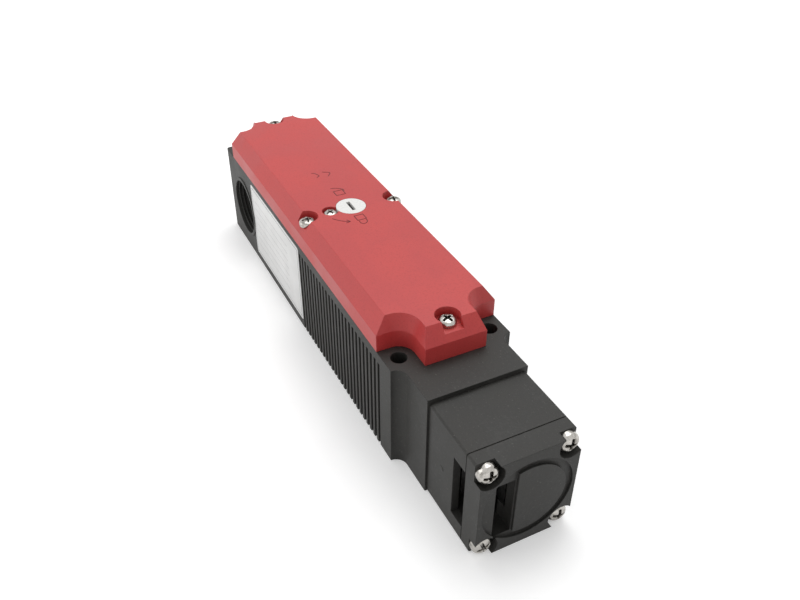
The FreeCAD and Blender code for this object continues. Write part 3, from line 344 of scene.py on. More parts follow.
@dataclass(frozen=True)
class MouldedPlastic:
    """Moulded plastic from an eroded tool: a fine grain, a faint cloudiness, and rubbed edges.

    The grain is a noise of about two cells per millimetre. The cloudiness is a slow noise that shifts the
    colour and the gloss together, the mottling is a quicker one that brings the cloud's colour through in
    small patches, and the specks are the bright ends of a fourth noise.
    """

    name: str
    colour: Colour
    cloud: Colour
    speck: Colour
    roughness: float
    grain_per_mm: float = 2.2
    grain_depth: float = 0.02
    edge_radius: float = 0.3
    speck_share: float = 0.25
    mottle_share: float = 0.3
    specular: float = 0.5
    cloud_per_mm: float = 0.055
    speck_per_mm: float = 1.3
    mottle_per_mm: float = 0.85

    def material(self) -> Material:
        """Build the material."""
        graph = Graph(self.name)
        where = graph.millimetres()
        cloud = graph.noise(where, self.cloud_per_mm, 3.0, 0.55)
        grain = graph.noise(where, self.grain_per_mm, 3.0, 0.6)
        speck = graph.noise(where, self.speck_per_mm, 2.0, 0.7)
        mottle = graph.span(graph.noise(where, self.mottle_per_mm, 4.0, 0.70), 0.42, 0.64,
                            0.0, self.mottle_share)
        cloudy = graph.blend(graph.maths("MAXIMUM", graph.span(cloud, 0.35, 0.68, 0.0, 1.0), mottle),
                             self.colour, self.cloud)
        bright = graph.span(speck, 0.62, 0.74, 0.0, self.speck_share)
        speckled = graph.blend(bright, cloudy, self.speck)
        dark = tuple(c * 0.72 for c in self.colour)
        graph.feed(graph.shader, {"Specular IOR Level": self.specular})
        return graph.surface(graph.blend(graph.span(grain, 0.30, 0.52, 0.35, 0.0), speckled, dark),
                             graph.span(cloud, 0.3, 0.7, self.roughness - 0.05, self.roughness + 0.06),
                             grain, self.grain_depth, self.edge_radius)


@dataclass(frozen=True)
class PolishedPlastic:
    """Smooth light plastic with the slow waviness of a small moulding and a little handling dirt."""

    name: str
    colour: Colour
    worn: Colour
    roughness: float = 0.24
    edge_radius: float = 0.2
    wave_per_mm: float = 0.35
    dirt_per_mm: float = 1.1

    def material(self) -> Material:
        """Build the material."""
        graph = Graph(self.name)
        where = graph.millimetres()
        wave = graph.noise(where, self.wave_per_mm)
        dirt = graph.noise(where, self.dirt_per_mm, 4.0, 0.65)
        return graph.surface(graph.blend(graph.span(dirt, 0.5, 0.75, 0.0, 0.6), self.colour, self.worn),
                             graph.span(dirt, 0.4, 0.7, self.roughness, self.roughness + 0.16),
                             wave, 0.02, self.edge_radius)


@dataclass(frozen=True)
class Metal:
    """Bare or plated metal: drawn-out tool marks, cloudy gloss and soft edges.

    The marks are a noise stretched along one axis. Where the plating is thin, a second noise lets a
    darker tone through. The recess shade, where there is any, is painted shade: the colour darkens in
    recesses that the metal closes in on itself.
    """

    name: str
    colour: Colour
    shade: Colour
    roughness: float
    marks: Point = (1.0, 1.0, 1.0)
    marks_per_mm: float = 5.0
    marks_depth: float = 0.004
    edge_radius: float = 0.12
    cloud_per_mm: float = 0.6
    recess_shade: Colour | None = None
    recess_shade_reach: float = 1.1 * MM

    def material(self) -> Material:
        """Build the material."""
        graph = Graph(self.name)
        marks = graph.noise(graph.millimetres(self.marks), self.marks_per_mm, 3.0, 0.6)
        cloud = graph.noise(graph.millimetres(), self.cloud_per_mm, 3.0, 0.6)
        bare = graph.blend(graph.span(cloud, 0.42, 0.7, 0.0, 1.0), self.colour, self.shade)
        # painted shade: the base colour darkens to the recess shade where ambient occlusion finds the metal
        # closed in
        if self.recess_shade is not None:
            occlusion = graph.add("AmbientOcclusion", {"Distance": self.recess_shade_reach}, samples=8,
                               only_local=True)
            painted_shade_share = graph.span(occlusion.outputs["AO"], 0.35, 0.86, 1.0, 0.0)
            bare = graph.blend(painted_shade_share, bare, self.recess_shade)
        graph.feed(graph.shader, {"Metallic": 1.0})
        return graph.surface(bare,
                             graph.span(marks, 0.3, 0.7, self.roughness - 0.06, self.roughness + 0.1),
                             marks, self.marks_depth, self.edge_radius)


@dataclass(frozen=True)
class Rubber:
    """Black rubber: dull, with talc left in the pores."""

    name: str
    colour: Colour
    talc: Colour
    pores_per_mm: float = 3.0

    def material(self) -> Material:
        """Build the material."""
        graph = Graph(self.name)
        pores = graph.noise(graph.millimetres(), self.pores_per_mm, 4.0, 0.7)
        return graph.surface(graph.blend(graph.span(pores, 0.55, 0.8, 0.0, 0.5), self.colour, self.talc),
                             graph.span(pores, 0.3, 0.7, 0.7, 0.88), pores, 0.02, 0.2)


@dataclass(frozen=True)
class PlateFilm:
    """The satin film of a bare type plate: a thin printed frame line and empty ruled lines.

    The frame is where the distance to a rectangle, the larger of |x - cx| - hx and |z - cz| - hz, is under
    half a line's width. The rules are where the height, taken modulo their pitch, is.
    """

    name: str
    colour: Colour
    ink: Colour
    centre: tuple[float, float]
    half: tuple[float, float]
    line: float = 0.12
    rule_pitch: float = 3.4
    rule_reach: float = 0.78
    rule_strength: float = 0.55
    rule_margin: float = 2.6
    soft: float = 0.05

    def material(self) -> Material:
        """Build the material."""
        graph = Graph(self.name)
        where = graph.millimetres()
        parts = graph.add("SeparateXYZ", {0: where})
        offsets = [graph.maths("SUBTRACT", parts.outputs[axis], middle)
                   for axis, middle in zip("XZ", self.centre)]
        outside = graph.maths("MAXIMUM", *(
            graph.maths("SUBTRACT", graph.maths("ABSOLUTE", offset), half)
            for offset, half in zip(offsets, self.half)))
        stop = self.half[0] * (2 * self.rule_reach - 1)
        framed, ruled, inner, reach = (
            graph.span(value, limit, limit + self.soft, 1.0, 0.0)
            for value, limit in ((graph.maths("ABSOLUTE", outside), self.line),
                                 (graph.maths("PINGPONG", offsets[1], self.rule_pitch / 2),
                                  self.line * 0.6),
                                 (outside, -self.rule_margin), (offsets[0], stop)))
        rules = graph.maths("MULTIPLY", graph.maths("MULTIPLY", ruled, inner), reach)
        print_share = graph.maths("MAXIMUM", framed, graph.maths("MULTIPLY", rules, self.rule_strength))
        film = graph.noise(where, 0.12, 3.0)
        paper = graph.blend(graph.span(film, 0.3, 0.7, 0.0, 1.0), self.colour,
                            tuple(c * 0.93 for c in self.colour))
        return graph.surface(graph.blend(print_share, paper, self.ink),
                             graph.span(film, 0.3, 0.7, 0.34, 0.46), film, 0.03, 0.05)


class Slot(Enum):
    """The record's material slots."""

    HOUSING = "housing_black"
    COVER = "cover_red"
    PLUG = "plug_black"
    RELEASE = "release_white"
    SCREW = "screw_steel"
    MECHANISM = "mechanism_steel"
    ROD = "rod_metal"
    BUSH = "bush_plastic"
    SEAL = "seal_rubber"
    CONTACT = "contact_grey"
    TERMINAL = "terminal_grey"
    COIL = "coil_copper"
    BRASS = "terminal_brass"


FINISHES = {
    Slot.HOUSING: MouldedPlastic("black_grained_plastic", (0.0215, 0.0210, 0.0190), (0.034, 0.033, 0.030),
                                 (0.13, 0.125, 0.115), 0.55, grain_depth=0.03, speck_share=0.38,
                                 mottle_share=0.6, specular=0.32),
    Slot.COVER: MouldedPlastic("red_matt_plastic", (0.48, 0.036, 0.036), (0.52, 0.046, 0.043),
                               (0.58, 0.12, 0.11), 0.44, grain_per_mm=1.6, grain_depth=0.010,
                               speck_share=0.12),
    Slot.PLUG: MouldedPlastic("black_plug_plastic", (0.024, 0.0235, 0.024), (0.033, 0.032, 0.032),
                              (0.09, 0.09, 0.09), 0.42, grain_depth=0.012, specular=0.4),
    Slot.RELEASE: PolishedPlastic("white_release_plastic", (0.80, 0.80, 0.78), (0.66, 0.66, 0.62)),
    # the screws' recess colour is painted shade that darkens their cross recesses
    Slot.SCREW: Metal("zinc_plated_steel", (0.50, 0.48, 0.45), (0.30, 0.285, 0.26), 0.22,
                      recess_shade=(0.035, 0.033, 0.030)),
    Slot.MECHANISM: Metal("rolled_steel", (0.56, 0.57, 0.58), (0.42, 0.42, 0.41), 0.36,
                          marks=(0.12, 1.0, 1.0), marks_depth=0.006),
    Slot.ROD: Metal("turned_stainless_steel", (0.62, 0.62, 0.61), (0.50, 0.50, 0.49), 0.24,
                    marks=(1.0, 0.15, 0.15), marks_per_mm=7.0, marks_depth=0.005),
    Slot.BUSH: PolishedPlastic("bearing_plastic", (0.74, 0.71, 0.60), (0.58, 0.55, 0.44), 0.36),
    Slot.SEAL: Rubber("seal_rubber_black", (0.022, 0.022, 0.022), (0.09, 0.09, 0.085)),
    Slot.CONTACT: MouldedPlastic("contact_block_plastic", (0.17, 0.18, 0.19), (0.21, 0.22, 0.23),
                                 (0.32, 0.33, 0.34), 0.40, grain_depth=0.008),
    Slot.TERMINAL: MouldedPlastic("terminal_block_plastic", (0.46, 0.47, 0.45), (0.52, 0.53, 0.50),
                                  (0.62, 0.63, 0.60), 0.38, grain_depth=0.008),
    Slot.COIL: Metal("enamelled_copper", (0.72, 0.32, 0.14), (0.50, 0.19, 0.08), 0.26,
                     marks=(0.3, 1.0, 1.0)),
    Slot.BRASS: Metal("clamp_brass", (0.76, 0.58, 0.26), (0.60, 0.44, 0.19), 0.26),
}


# Near-black steel for the cam drum and its axle: painted shade, so the inside of the head looks dark
# through its slots.
DRUM_SHADE_STEEL = Metal("drum_painted_shade_steel", (0.055, 0.054, 0.052), (0.030, 0.030, 0.029), 0.38,
                    marks=(1.0, 1.0, 0.15), marks_depth=0.006)
DRUM_SHADE_NODES = ("cam_drum", "drum_axle")


def placed(name: str, data: bpy.types.ID, matrix: Matrix | None = None) -> bpy.types.Object:
    """Put a mesh, camera or lamp into the scene.

    Args:
        name: The object's name.
        data: What it shows.
        matrix: Its place, if it isn't at the origin.

    Returns:
        The new object.
    """
    item = bpy.data.objects.new(name, data)
    bpy.context.scene.collection.objects.link(item)
    if matrix is not None:
        item.matrix_world = matrix
    return item


class Wardrobe:
    """Makes each finish once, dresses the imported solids, and adds new pieces."""

    def __init__(self) -> None:
        """Build the material of every slot, and the near-black steel of the cam drum, whose darkness is
        painted shade.
        """
        self.materials = {slot: finish.material() for slot, finish in FINISHES.items()}
        self.drum_shade = DRUM_SHADE_STEEL.material()

    def dress_solids(self) -> None:
        """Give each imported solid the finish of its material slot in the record."""
        for part in frame["record"]["subparts"]:
            finish = self.materials[Slot(part["material_slot"])]
            # the cam drum and its axle take the near-black steel, painted shade for the dark inside of the
            # head
            if part["node"] in DRUM_SHADE_NODES:
                finish = self.drum_shade
            for held in frame["nodes"][part["node"]].material_slots:
                held.material = finish
            LOG.info("dressed %s", part["node"])

    def add(self, name: str, shape: Shape, slot: Slot, body: str = "switch_body", replaces: str = "",
            material: Material | None = None, sharp: float = 40.0) -> bpy.types.Object:
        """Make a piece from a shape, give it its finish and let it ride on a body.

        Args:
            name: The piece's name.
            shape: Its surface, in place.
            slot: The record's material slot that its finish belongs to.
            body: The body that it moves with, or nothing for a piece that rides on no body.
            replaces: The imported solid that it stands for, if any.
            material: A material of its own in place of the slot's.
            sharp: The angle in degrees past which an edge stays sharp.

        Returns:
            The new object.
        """
        mesh = bpy.data.meshes.new(name)
        mesh.from_pydata(shape.points.tolist(), [], shape.quads.tolist() + shape.triangles.tolist())
        mesh.polygons.foreach_set("use_smooth", np.ones(len(mesh.polygons), bool))
        mesh.set_sharp_from_angle(angle=math.radians(sharp))
        mesh.materials.append(material or self.materials[slot])
        piece = placed(name, mesh)
        if body:
            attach(piece, body)
        if replaces:
            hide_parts(replaces)
        LOG.info("made %s: %d faces", name, len(mesh.polygons))
        return piece


# ---- screws

class Drive(Enum):
    """The recess in a screw's head."""

    CROSS = "cross"
    SLOT = "slot"

    def depth(self, x: np.ndarray, y: np.ndarray, head: float) -> np.ndarray:
        """The depth of the recess under each point of the head, as a share of its greatest depth.

        A cross is the larger of two bars; a bar is 1 where |across| is under its half width and fades
        out over a narrow flank, and the cross gets shallower towards the ends of its arms. A slot is
        one bar right across.

        Args:
            x: Places across the head.
            y: Places along the head.
            head: The head's radius.

        Returns:
            The shares.
        """
        flank = 0.035 * head

        def bar(across: np.ndarray, half: float) -> np.ndarray:
            """One bar of the recess: a clipped ramp across its flanks, smoothed at both ends."""
            ramp = np.clip((half + flank - np.abs(across)) / (2 * flank), 0.0, 1.0)
            return ramp * ramp * (3 - 2 * ramp)

        if self is Drive.SLOT:
            return bar(x, 0.13 * head)
        reach = 0.68 * head
        arms = [bar(a, 0.14 * head) * np.clip((reach - np.abs(b)) / (0.22 * reach), 0.0, 1.0)
                for a, b in ((x, y), (y, x))]
        fall = 1.0 - 0.40 * np.hypot(x, y) / reach
        return np.clip(np.maximum(*arms), 0.0, 1.0) * np.clip(fall, 0.0, 1.0)


@dataclass(frozen=True)
class PanScrew:
    """A screw with a domed pan head, a recess and a rolled thread, seated at height 0, head up."""

    head_radius: float
    head_height: float
    shank_radius: float
    threaded: float
    pitch: float
    drive: Drive = Drive.CROSS
    recess_depth: float = 1.5 * MM
    columns: int = 112
    head_rows: int = 34

    def shape(self, length: float) -> Shape:
        """The screw as one closed surface of rings round its axis.

        The head's height at radius r is side + dome (1 - (r / R) ^ 2.5) ^ 0.5, less the recess. Under the
        head the radius is the shank's, and along the thread it is
        shank - depth (1 + cos(2 pi height / pitch - angle)) / 2, so the ridge climbs as a helix.
        The thread fades in over one pitch, and the tip narrows.

        Args:
            length: The length under the head.

        Returns:
            The surface, with a pole at each end.
        """
        cos, sin = circle_of(self.columns)
        side = 0.42 * self.head_height
        share = np.sin(np.linspace(0.0, TURN / 4, self.head_rows + 1)[1:]) ** 0.92
        radius = share[:, None] * self.head_radius * np.ones(self.columns)
        dome = (self.head_height - side) * np.sqrt(1.0 - np.clip(share, 0, 1) ** 2.5)[:, None]
        x, y = radius * cos, radius * sin
        recess = self.recess_depth * self.drive.depth(x, y, self.head_radius)
        head = np.stack([x, y, side + dome - recess], axis=-1)
        depth = 0.54 * self.pitch
        plain = length - self.threaded
        turns = self.threaded / self.pitch
        run = np.linspace(0.0, 1.0, max(int(turns * 6), 2))
        drop = np.concatenate([[0.0], [plain], plain + self.threaded * run[1:]])
        angle = np.arctan2(sin, cos)
        cut = 0.5 * depth * (1 + np.cos(TURN * drop[:, None] / self.pitch + angle))
        fade = np.clip((drop - plain) / self.pitch, 0.0, 1.0)[:, None]
        thread_radius = self.shank_radius - fade * cut
        thread_radius *= np.clip((length - drop) / (0.8 * self.pitch) + 0.6, 0.0, 1.0)[:, None]
        edge = 0.985 * self.head_radius
        rim = np.array([[self.head_radius, 0.12 * side], [edge, 0.0]])
        lower = [np.stack([r * cos, r * sin, np.full(self.columns, h)], axis=-1) for r, h in rim]
        shank = np.stack([thread_radius * cos, thread_radius * sin,
                          -drop[:, None] * np.ones(self.columns)], axis=-1)
        centre = side + (self.head_height - side) - self.recess_depth
        return woven(np.concatenate([head, np.stack(lower), shank]),
                     np.array([0.0, 0.0, centre]), np.array([0.0, 0.0, -length]))


@dataclass(frozen=True)
class ScrewSet:
    """Screws of one kind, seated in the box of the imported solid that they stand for.

    Each seat is given by two shares of the way across the box, from one side to the other, between the
    places where a head just fits into it.
    """

    name: str
    node: str
    screw: PanScrew
    seat: float
    shares: tuple[tuple[float, float], ...]
    facing: Facing = Facing.UP
    slot: Slot = Slot.SCREW
    clocks: tuple[float, ...] = (0.35, 1.12, 0.62, 0.15)
    clock_step: float = 0.4

    def build(self, wardrobe: Wardrobe) -> None:
        """Make copies of the screw at their seats, each turned a little differently."""
        low, high, _ = box_of(self.node)
        main = 0 if self.facing is Facing.FORWARD else 2
        shape = self.screw.shape(high[main] - self.seat - low[main])
        inset = self.screw.head_radius
        screws = []
        for number, share in enumerate(self.shares):
            place = low + inset + np.insert(share, main, 0.0) * (high - low - 2 * inset)
            place[main] = high[main] - self.seat
            clock = self.clocks[number % len(self.clocks)] + self.clock_step * number
            screws.append(shape.moved(self.facing.turn(clock), place))
        wardrobe.add(self.name, together(screws), self.slot, replaces=self.node)


class Fasteners:
    """The screws that show on the switch and the ones inside it."""

    def sets(self) -> list[ScrewSet]:
        """The cover's screws, the release's seal screw, the head's, the contact block's and the clamps.

        Each screw is given by the radius and height of its head, the radius of its shank, its threaded
        length and its pitch. The cover has one in each end tab and two in line with the seal screw.

        Returns:
            The five sets.
        """
        cover = PanScrew(2.9 * MM, 2.2 * MM, 1.5 * MM, 6.0 * MM, 0.7 * MM)
        seal = PanScrew(2.4 * MM, 1.4 * MM, 1.0 * MM, 3.4 * MM, 0.4 * MM, recess_depth=0.9 * MM)
        head = PanScrew(3.25 * MM, 3.2 * MM, 1.75 * MM, 9.0 * MM, 0.7 * MM, recess_depth=1.9 * MM)
        block = PanScrew(2.2 * MM, 1.6 * MM, 1.2 * MM, 3.0 * MM, 0.45 * MM, Drive.SLOT, 0.8 * MM, 72, 20)
        clamp = PanScrew(1.8 * MM, 1.2 * MM, 1.3 * MM, 2.4 * MM, 0.5 * MM, Drive.SLOT, 0.7 * MM, 48, 14)
        low, high, _ = box_of("cover_screws")
        middle = box_of("seal_screw")[2]
        along = ((middle - low - cover.head_radius) / (high - low - 2 * cover.head_radius))[0]
        rows = tuple((x, y) for x in np.linspace(0.0, 1.0, 6) for y in (0.0, 1.0))
        return [
            ScrewSet("cover_pan_screws", "cover_screws", cover, cover.head_height,
                     ((1.0, 0.5), (0.0, 0.5), (along, 0.0), (along, 1.0))),
            ScrewSet("seal_pan_screw", "seal_screw", seal, seal.head_height, ((0.5, 0.5),)),
            ScrewSet("head_pan_screws", "head_screws", head, 2.4 * MM,
                     ((0.0, 0.0), (0.0, 1.0), (1.0, 0.0), (1.0, 1.0)), Facing.FORWARD),
            ScrewSet("block_slotted_screws", "block_screws", block, block.head_height,
                     ((0.0, 0.0), (1.0, 1.0))),
            ScrewSet("brass_clamp_screws", "terminal_screws", clamp, clamp.head_height, rows,
                     slot=Slot.BRASS)]

    def build(self, wardrobe: Wardrobe) -> None:
        """Make every set of screws."""
        for screws in self.sets():
            screws.build(wardrobe)


# ---- outside

@dataclass(frozen=True)
class TypePlate:
    """The bare type plate on the housing's left wall: a thin film with rounded corners."""

    rear: float = -50.0 * MM
    front: float = 5.0 * MM
    low: float = 3.5 * MM
    top: float = 36.5 * MM
    corner: float = 1.2 * MM
    thickness: float = 0.12 * MM
    embedded: float = 0.05 * MM
    frame_inset: float = 1.3
    columns: int = 96

    def outline(self, inset: float) -> np.ndarray:
        """The plate's outline: four corner arcs, each a quarter circle, joined by straight sides.

        Args:
            inset: How far inside the plate's edge the outline runs.

        Returns:
            Points (x, z) round the plate.
        """
        quarter = np.linspace(0.0, TURN / 4, self.columns // 4)
        radius = self.corner - inset
        arcs = []
        for number, (right, upper) in enumerate(((1, 1), (-1, 1), (-1, -1), (1, -1))):
            x = (self.front if right > 0 else self.rear) - right * self.corner
            z = (self.top if upper > 0 else self.low) - upper * self.corner
            angle = quarter + number * TURN / 4
            arcs.append(np.stack([x + radius * np.cos(angle), z + radius * np.sin(angle)], axis=-1))
        return np.concatenate(arcs)

    def build(self, wardrobe: Wardrobe) -> None:
        """Make the plate from rings that run round its edge, over a small bevel to its face."""
        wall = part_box("housing")[0].y + ENTRY_RIM
        face = wall - self.thickness
        bevel = 0.4 * self.thickness
        rings = [(0.0, wall + self.embedded), (0.0, face + bevel), (0.3 * bevel, face + 0.3 * bevel),
                 (bevel, face)]
        rows = []
        for inset, y in rings:
            flat = self.outline(inset)
            rows.append(np.stack([flat[:, 0], np.full(len(flat), y), flat[:, 1]], axis=-1))
        middle = ((self.rear + self.front) / 2, (self.low + self.top) / 2)
        shape = woven(np.stack(rows), np.array([middle[0], wall + self.embedded, middle[1]]),
                      np.array([middle[0], face, middle[1]]))
        half = tuple((high - low) / 2 / MM - self.frame_inset
                     for low, high in ((self.rear, self.front), (self.low, self.top)))
        film = PlateFilm("type_plate_film", (0.80, 0.80, 0.79), (0.20, 0.20, 0.21),
                         (middle[0] / MM, middle[1] / MM), half)
        wardrobe.add("type_plate", shape, Slot.HOUSING, material=film.material(), sharp=30)


@dataclass(frozen=True)
class CoverSymbols:
    """The moulded symbols on the cover round the release disc: raised lines with a round back.

    Each line is half sunk into the cover, so an oval section stands out of it by the relief's height.
    Their dark red is painted shade, standing in for the shadows along the raised lines.
    """

    relief: float = 0.10 * MM
    half_width: float = 0.20 * MM
    sunk: float = 0.06 * MM
    barb: float = 2.0 * MM
    barb_turn: float = 2.55
    arrow_radius: float = 10.9 * MM
    columns: int = 10

    def line(self, points: np.ndarray, closed: bool = False) -> Shape:
        """A raised line along points on the cover.

        The section's half width and height fade in over the first and last twelfth of an open line.

        Args:
            points: The points (x, y) of the line.
            closed: Whether the line comes back to its start.

        Returns:
            The line's surface.
        """
        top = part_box("cover")[1].z
        count = len(points)
        path = np.concatenate([points, np.full((count, 1), top - self.sunk)], axis=1)
        up = np.tile([0.0, 0.0, 1.0], (count, 1))
        share = np.linspace(0.0, 1.0, count)
        fade = np.ones(count) if closed else np.sqrt(np.clip(np.minimum(share, 1 - share) * 12, 0.02, 1))
        height = (self.relief + self.sunk) * fade
        return carried(path, up, self.half_width * fade, height, self.columns, closed)

    def arc(self, centre: Vector, radius: float, start: float, end: float) -> np.ndarray:
        """Points (x, y) of an arc: centre + radius (cos a, sin a) for degrees from start to end."""
        angle = np.radians(np.linspace(start, end, max(int(abs(end - start) / 5), 12)))
        return np.stack([centre.x + radius * np.cos(angle), centre.y + radius * np.sin(angle)], axis=-1)

    @staticmethod
    def run(*corners: tuple[float, float], steps: int = 10) -> np.ndarray:
        """Points along straight runs between corners, the same number on each run.

        Args:
            corners: The corners (x, y).
            steps: The points on each run.

        Returns:
            The points (x, y).
        """
        places = np.array(corners)
        share = np.linspace(0.0, 1.0, steps, endpoint=False)[:, None]
        legs = [a + (b - a) * share for a, b in zip(places[:-1], places[1:])]
        return np.concatenate(legs + [places[-1:]])

    @staticmethod
    def bent(centre: Vector, *marks: tuple[float, float], steps: int = 8) -> np.ndarray:
        """A smooth line through marks given in millimetres from the disc's centre.

        Between marks b and c, with a before and d after them and t from 0 to 1, the point is
        b + t (c - a) / 2 + t^2 (2a - 5b + 4c - d) / 2 + t^3 (3b - a - 3c + d) / 2.

        Args:
            centre: The disc's centre.
            marks: The marks (x, y) in millimetres.
            steps: The points between two marks.

        Returns:
            The points (x, y).
        """
        knots = np.array(marks) * MM + (centre.x, centre.y)
        knots = np.concatenate([2 * knots[:1] - knots[1:2], knots, 2 * knots[-1:] - knots[-2:-1]])
        a, b, c, d = (knots[k:len(knots) - 3 + k, None] for k in range(4))
        t = np.linspace(0.0, 1.0, steps, endpoint=False)[None, :, None]
        line = b + 0.5 * t * (c - a) + 0.5 * t ** 2 * (2 * a - 5 * b + 4 * c - d) \
            + 0.5 * t ** 3 * (3 * b - a - 3 * c + d)
        return np.concatenate([line.reshape(-1, 2), knots[-2:-1]])

    def arrow(self, centre: Vector, radius: float, start: float, end: float) -> list[Shape]:
        """A curved arrow about a centre, with its head at the end angle.

        Args:
            centre: The centre of the curve.
            radius: Its radius.
            start: The tail's angle in degrees.
            end: The head's angle in degrees.

        Returns:
            The shaft and the two barbs.
        """
        shaft = self.arc(centre, radius, start, end)
        tip = shaft[-1]
        ahead = shaft[-1] - shaft[-2]
        ahead /= np.linalg.norm(ahead)
        shapes = [self.line(shaft)]
        for turn in (self.barb_turn, -self.barb_turn):
            cos, sin = math.cos(turn), math.sin(turn)
            barb = np.array([ahead[0] * cos - ahead[1] * sin, ahead[0] * sin + ahead[1] * cos])
            shapes.append(self.line(self.run(tuple(tip), tuple(tip + self.barb * barb))))
        return shapes

    def padlock(self, centre: Vector, body: tuple[float, float, float, float],
                shackle: tuple[tuple[float, float], ...]) -> list[Shape]:
        """A small padlock: a four-sided body, and a shackle that is shut or swung aside.

        Args:
            centre: The disc's centre.
            body: The least and greatest x, then y, of the body from there, in millimetres.
            shackle: The marks of the shackle's line from there, in millimetres.

        Returns:
            The outline of the body and the shackle.
        """
        left, right, low, high = (value * MM for value in body)
        x, y = centre.x, centre.y
        frame_line = self.run((x + left, y + low), (x + right, y + low), (x + right, y + high),
                              (x + left, y + high), (x + left, y + low))[:-1]
        return [self.line(frame_line, closed=True), self.line(self.bent(centre, *shackle))]

    def build(self, wardrobe: Wardrobe) -> None:
        """Make the curved arrow, the shut and the open padlock, and the two hooked marks."""
        disc_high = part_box("release_spindle")[1]
        centre = Vector((disc_high.x - DISC_RADIUS, 0.0, 0.0))
        shapes = self.arrow(centre, self.arrow_radius, -63, -24)
        shapes += self.padlock(centre, (7.1, 10.4, -1.9, 1.5),
                               ((10.4, 1.2), (12.2, 1.0), (13.3, -0.3), (12.6, -1.5), (10.4, -1.6)))
        shapes += self.padlock(centre, (-12.5, -9.2, -1.7, 1.9),
                               ((-11.0, 1.9), (-12.3, 2.4), (-13.6, 1.4), (-14.8, -0.4), (-15.0, -2.1)))
        for marks in (((-29.8, -3.9), (-28.8, -2.6), (-26.5, -1.8), (-25.4, -3.3)),
                      ((-28.9, 0.2), (-27.9, 1.9), (-26.9, 2.9), (-24.3, 1.1))):
            shapes.append(self.line(self.bent(centre, *marks)))
        # the symbols' dark red is painted shade for the shadows along their raised lines, not a colour of
        # their own
        shade = MouldedPlastic("red_symbol_painted_shade", (0.13, 0.008, 0.010), (0.15, 0.010, 0.011),
                               (0.20, 0.02, 0.02), 0.6, grain_depth=0.005, edge_radius=0.05)
        wardrobe.add("cover_symbols", together(shapes), Slot.COVER, material=shade.material(), sharp=60)


@dataclass(frozen=True)
class GateMarkAndSlotShade:
    """The gate mark on the head's left wall, and a dark strip in the release's driver slot that is painted
    shade.
    """

    gate_radius: float = 1.1 * MM
    gate_height: float = 0.12 * MM
    gate_back: float = 8.4 * MM
    slot_length: float = 6.1 * MM
    slot_width: float = 1.3 * MM
    slot_depth: float = 1.3 * MM
    # the thickness of the dark strip that paints shade into the driver slot
    insert: float = 0.3 * MM
    columns: int = 40

    def gate_mark(self, wardrobe: Wardrobe) -> None:
        """Turn a low button: height h (1 - (r / R) ^ 6) over the wall, sunk a little into it."""
        low, _, place = box_of("head_housing")
        share = np.linspace(0.0, 1.0, 12)
        radii = np.concatenate([self.gate_radius * share, [self.gate_radius, 0.0]])
        heights = np.concatenate([self.gate_height * (1 - share ** 6), [-0.05 * MM, -0.05 * MM]])
        place[:2] = low[0] + self.gate_back, low[1]
        shape = turned(radii, heights, self.columns).moved(Facing.LEFT.turn(0.0), place)
        wardrobe.add("gate_mark", shape, Slot.HOUSING)

    def slot_painted_shade(self, wardrobe: Wardrobe) -> None:
        """Fill the driver slot's floor with a dark strip, painted shade for the slot's dark inside, whose
        outline is a superellipse.

        The outline is (L / 2 |cos a| ^ (1/4), W / 2 |sin a| ^ (1/4)), with the signs of the cosine and
        the sine.
        """
        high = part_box("release_spindle")[1]
        cos, sin = circle_of(self.columns)
        x = self.slot_length / 2 * np.sign(cos) * np.abs(cos) ** 0.25
        y = self.slot_width / 2 * np.sign(sin) * np.abs(sin) ** 0.25
        floor = high.z - self.slot_depth
        rows = np.stack([np.stack([x, y, np.full(self.columns, z)], axis=-1)
                         for z in (floor + 0.02 * MM, floor + self.insert)])
        rows[..., 0] += high.x - DISC_RADIUS
        middle = rows.mean(axis=1)
        # a black strip on the slot's floor: painted shade
        wardrobe.add("release_slot_painted_shade", woven(rows, middle[0], middle[1]), Slot.PLUG, "release")

    def build(self, wardrobe: Wardrobe) -> None:
        """Make both."""
        self.gate_mark(wardrobe)
        self.slot_painted_shade(wardrobe)


@dataclass(frozen=True)
class EntryThread:
    """The crests of the gland's thread in the open cable entry."""

    radius: float = 11.75 * MM
    pitch: float = 1.5 * MM
    height: float = 0.30 * MM
    half_width: float = 0.42 * MM
    start: float = 1.0 * MM
    length: float = 7.6 * MM
    steps_per_turn: int = 72

    def build(self, wardrobe: Wardrobe) -> None:
        """Carry a small oval along a helix inside the bore.

        The helix is centre + radius (cos a, sin a) across the bore, and it goes in by one pitch a turn.
        """
        centre = box_of("side_plug")[2]
        centre[1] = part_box("housing")[0].y + self.start
        turns = self.length / self.pitch
        angle = np.linspace(0.0, TURN * turns, int(turns * self.steps_per_turn))
        out = np.stack([np.cos(angle), np.zeros_like(angle), np.sin(angle)], axis=-1)
        path = out * self.radius + centre
        path[:, 1] += self.pitch * angle / TURN
        share = np.linspace(0.0, 1.0, len(angle))
        fade = np.clip(np.minimum(share, 1 - share) * 14, 0.05, 1.0)
        shape = carried(path, out, self.half_width * fade, self.height * fade, 8, False)
        wardrobe.add("entry_thread", shape, Slot.HOUSING, sharp=60)


# ---- inside

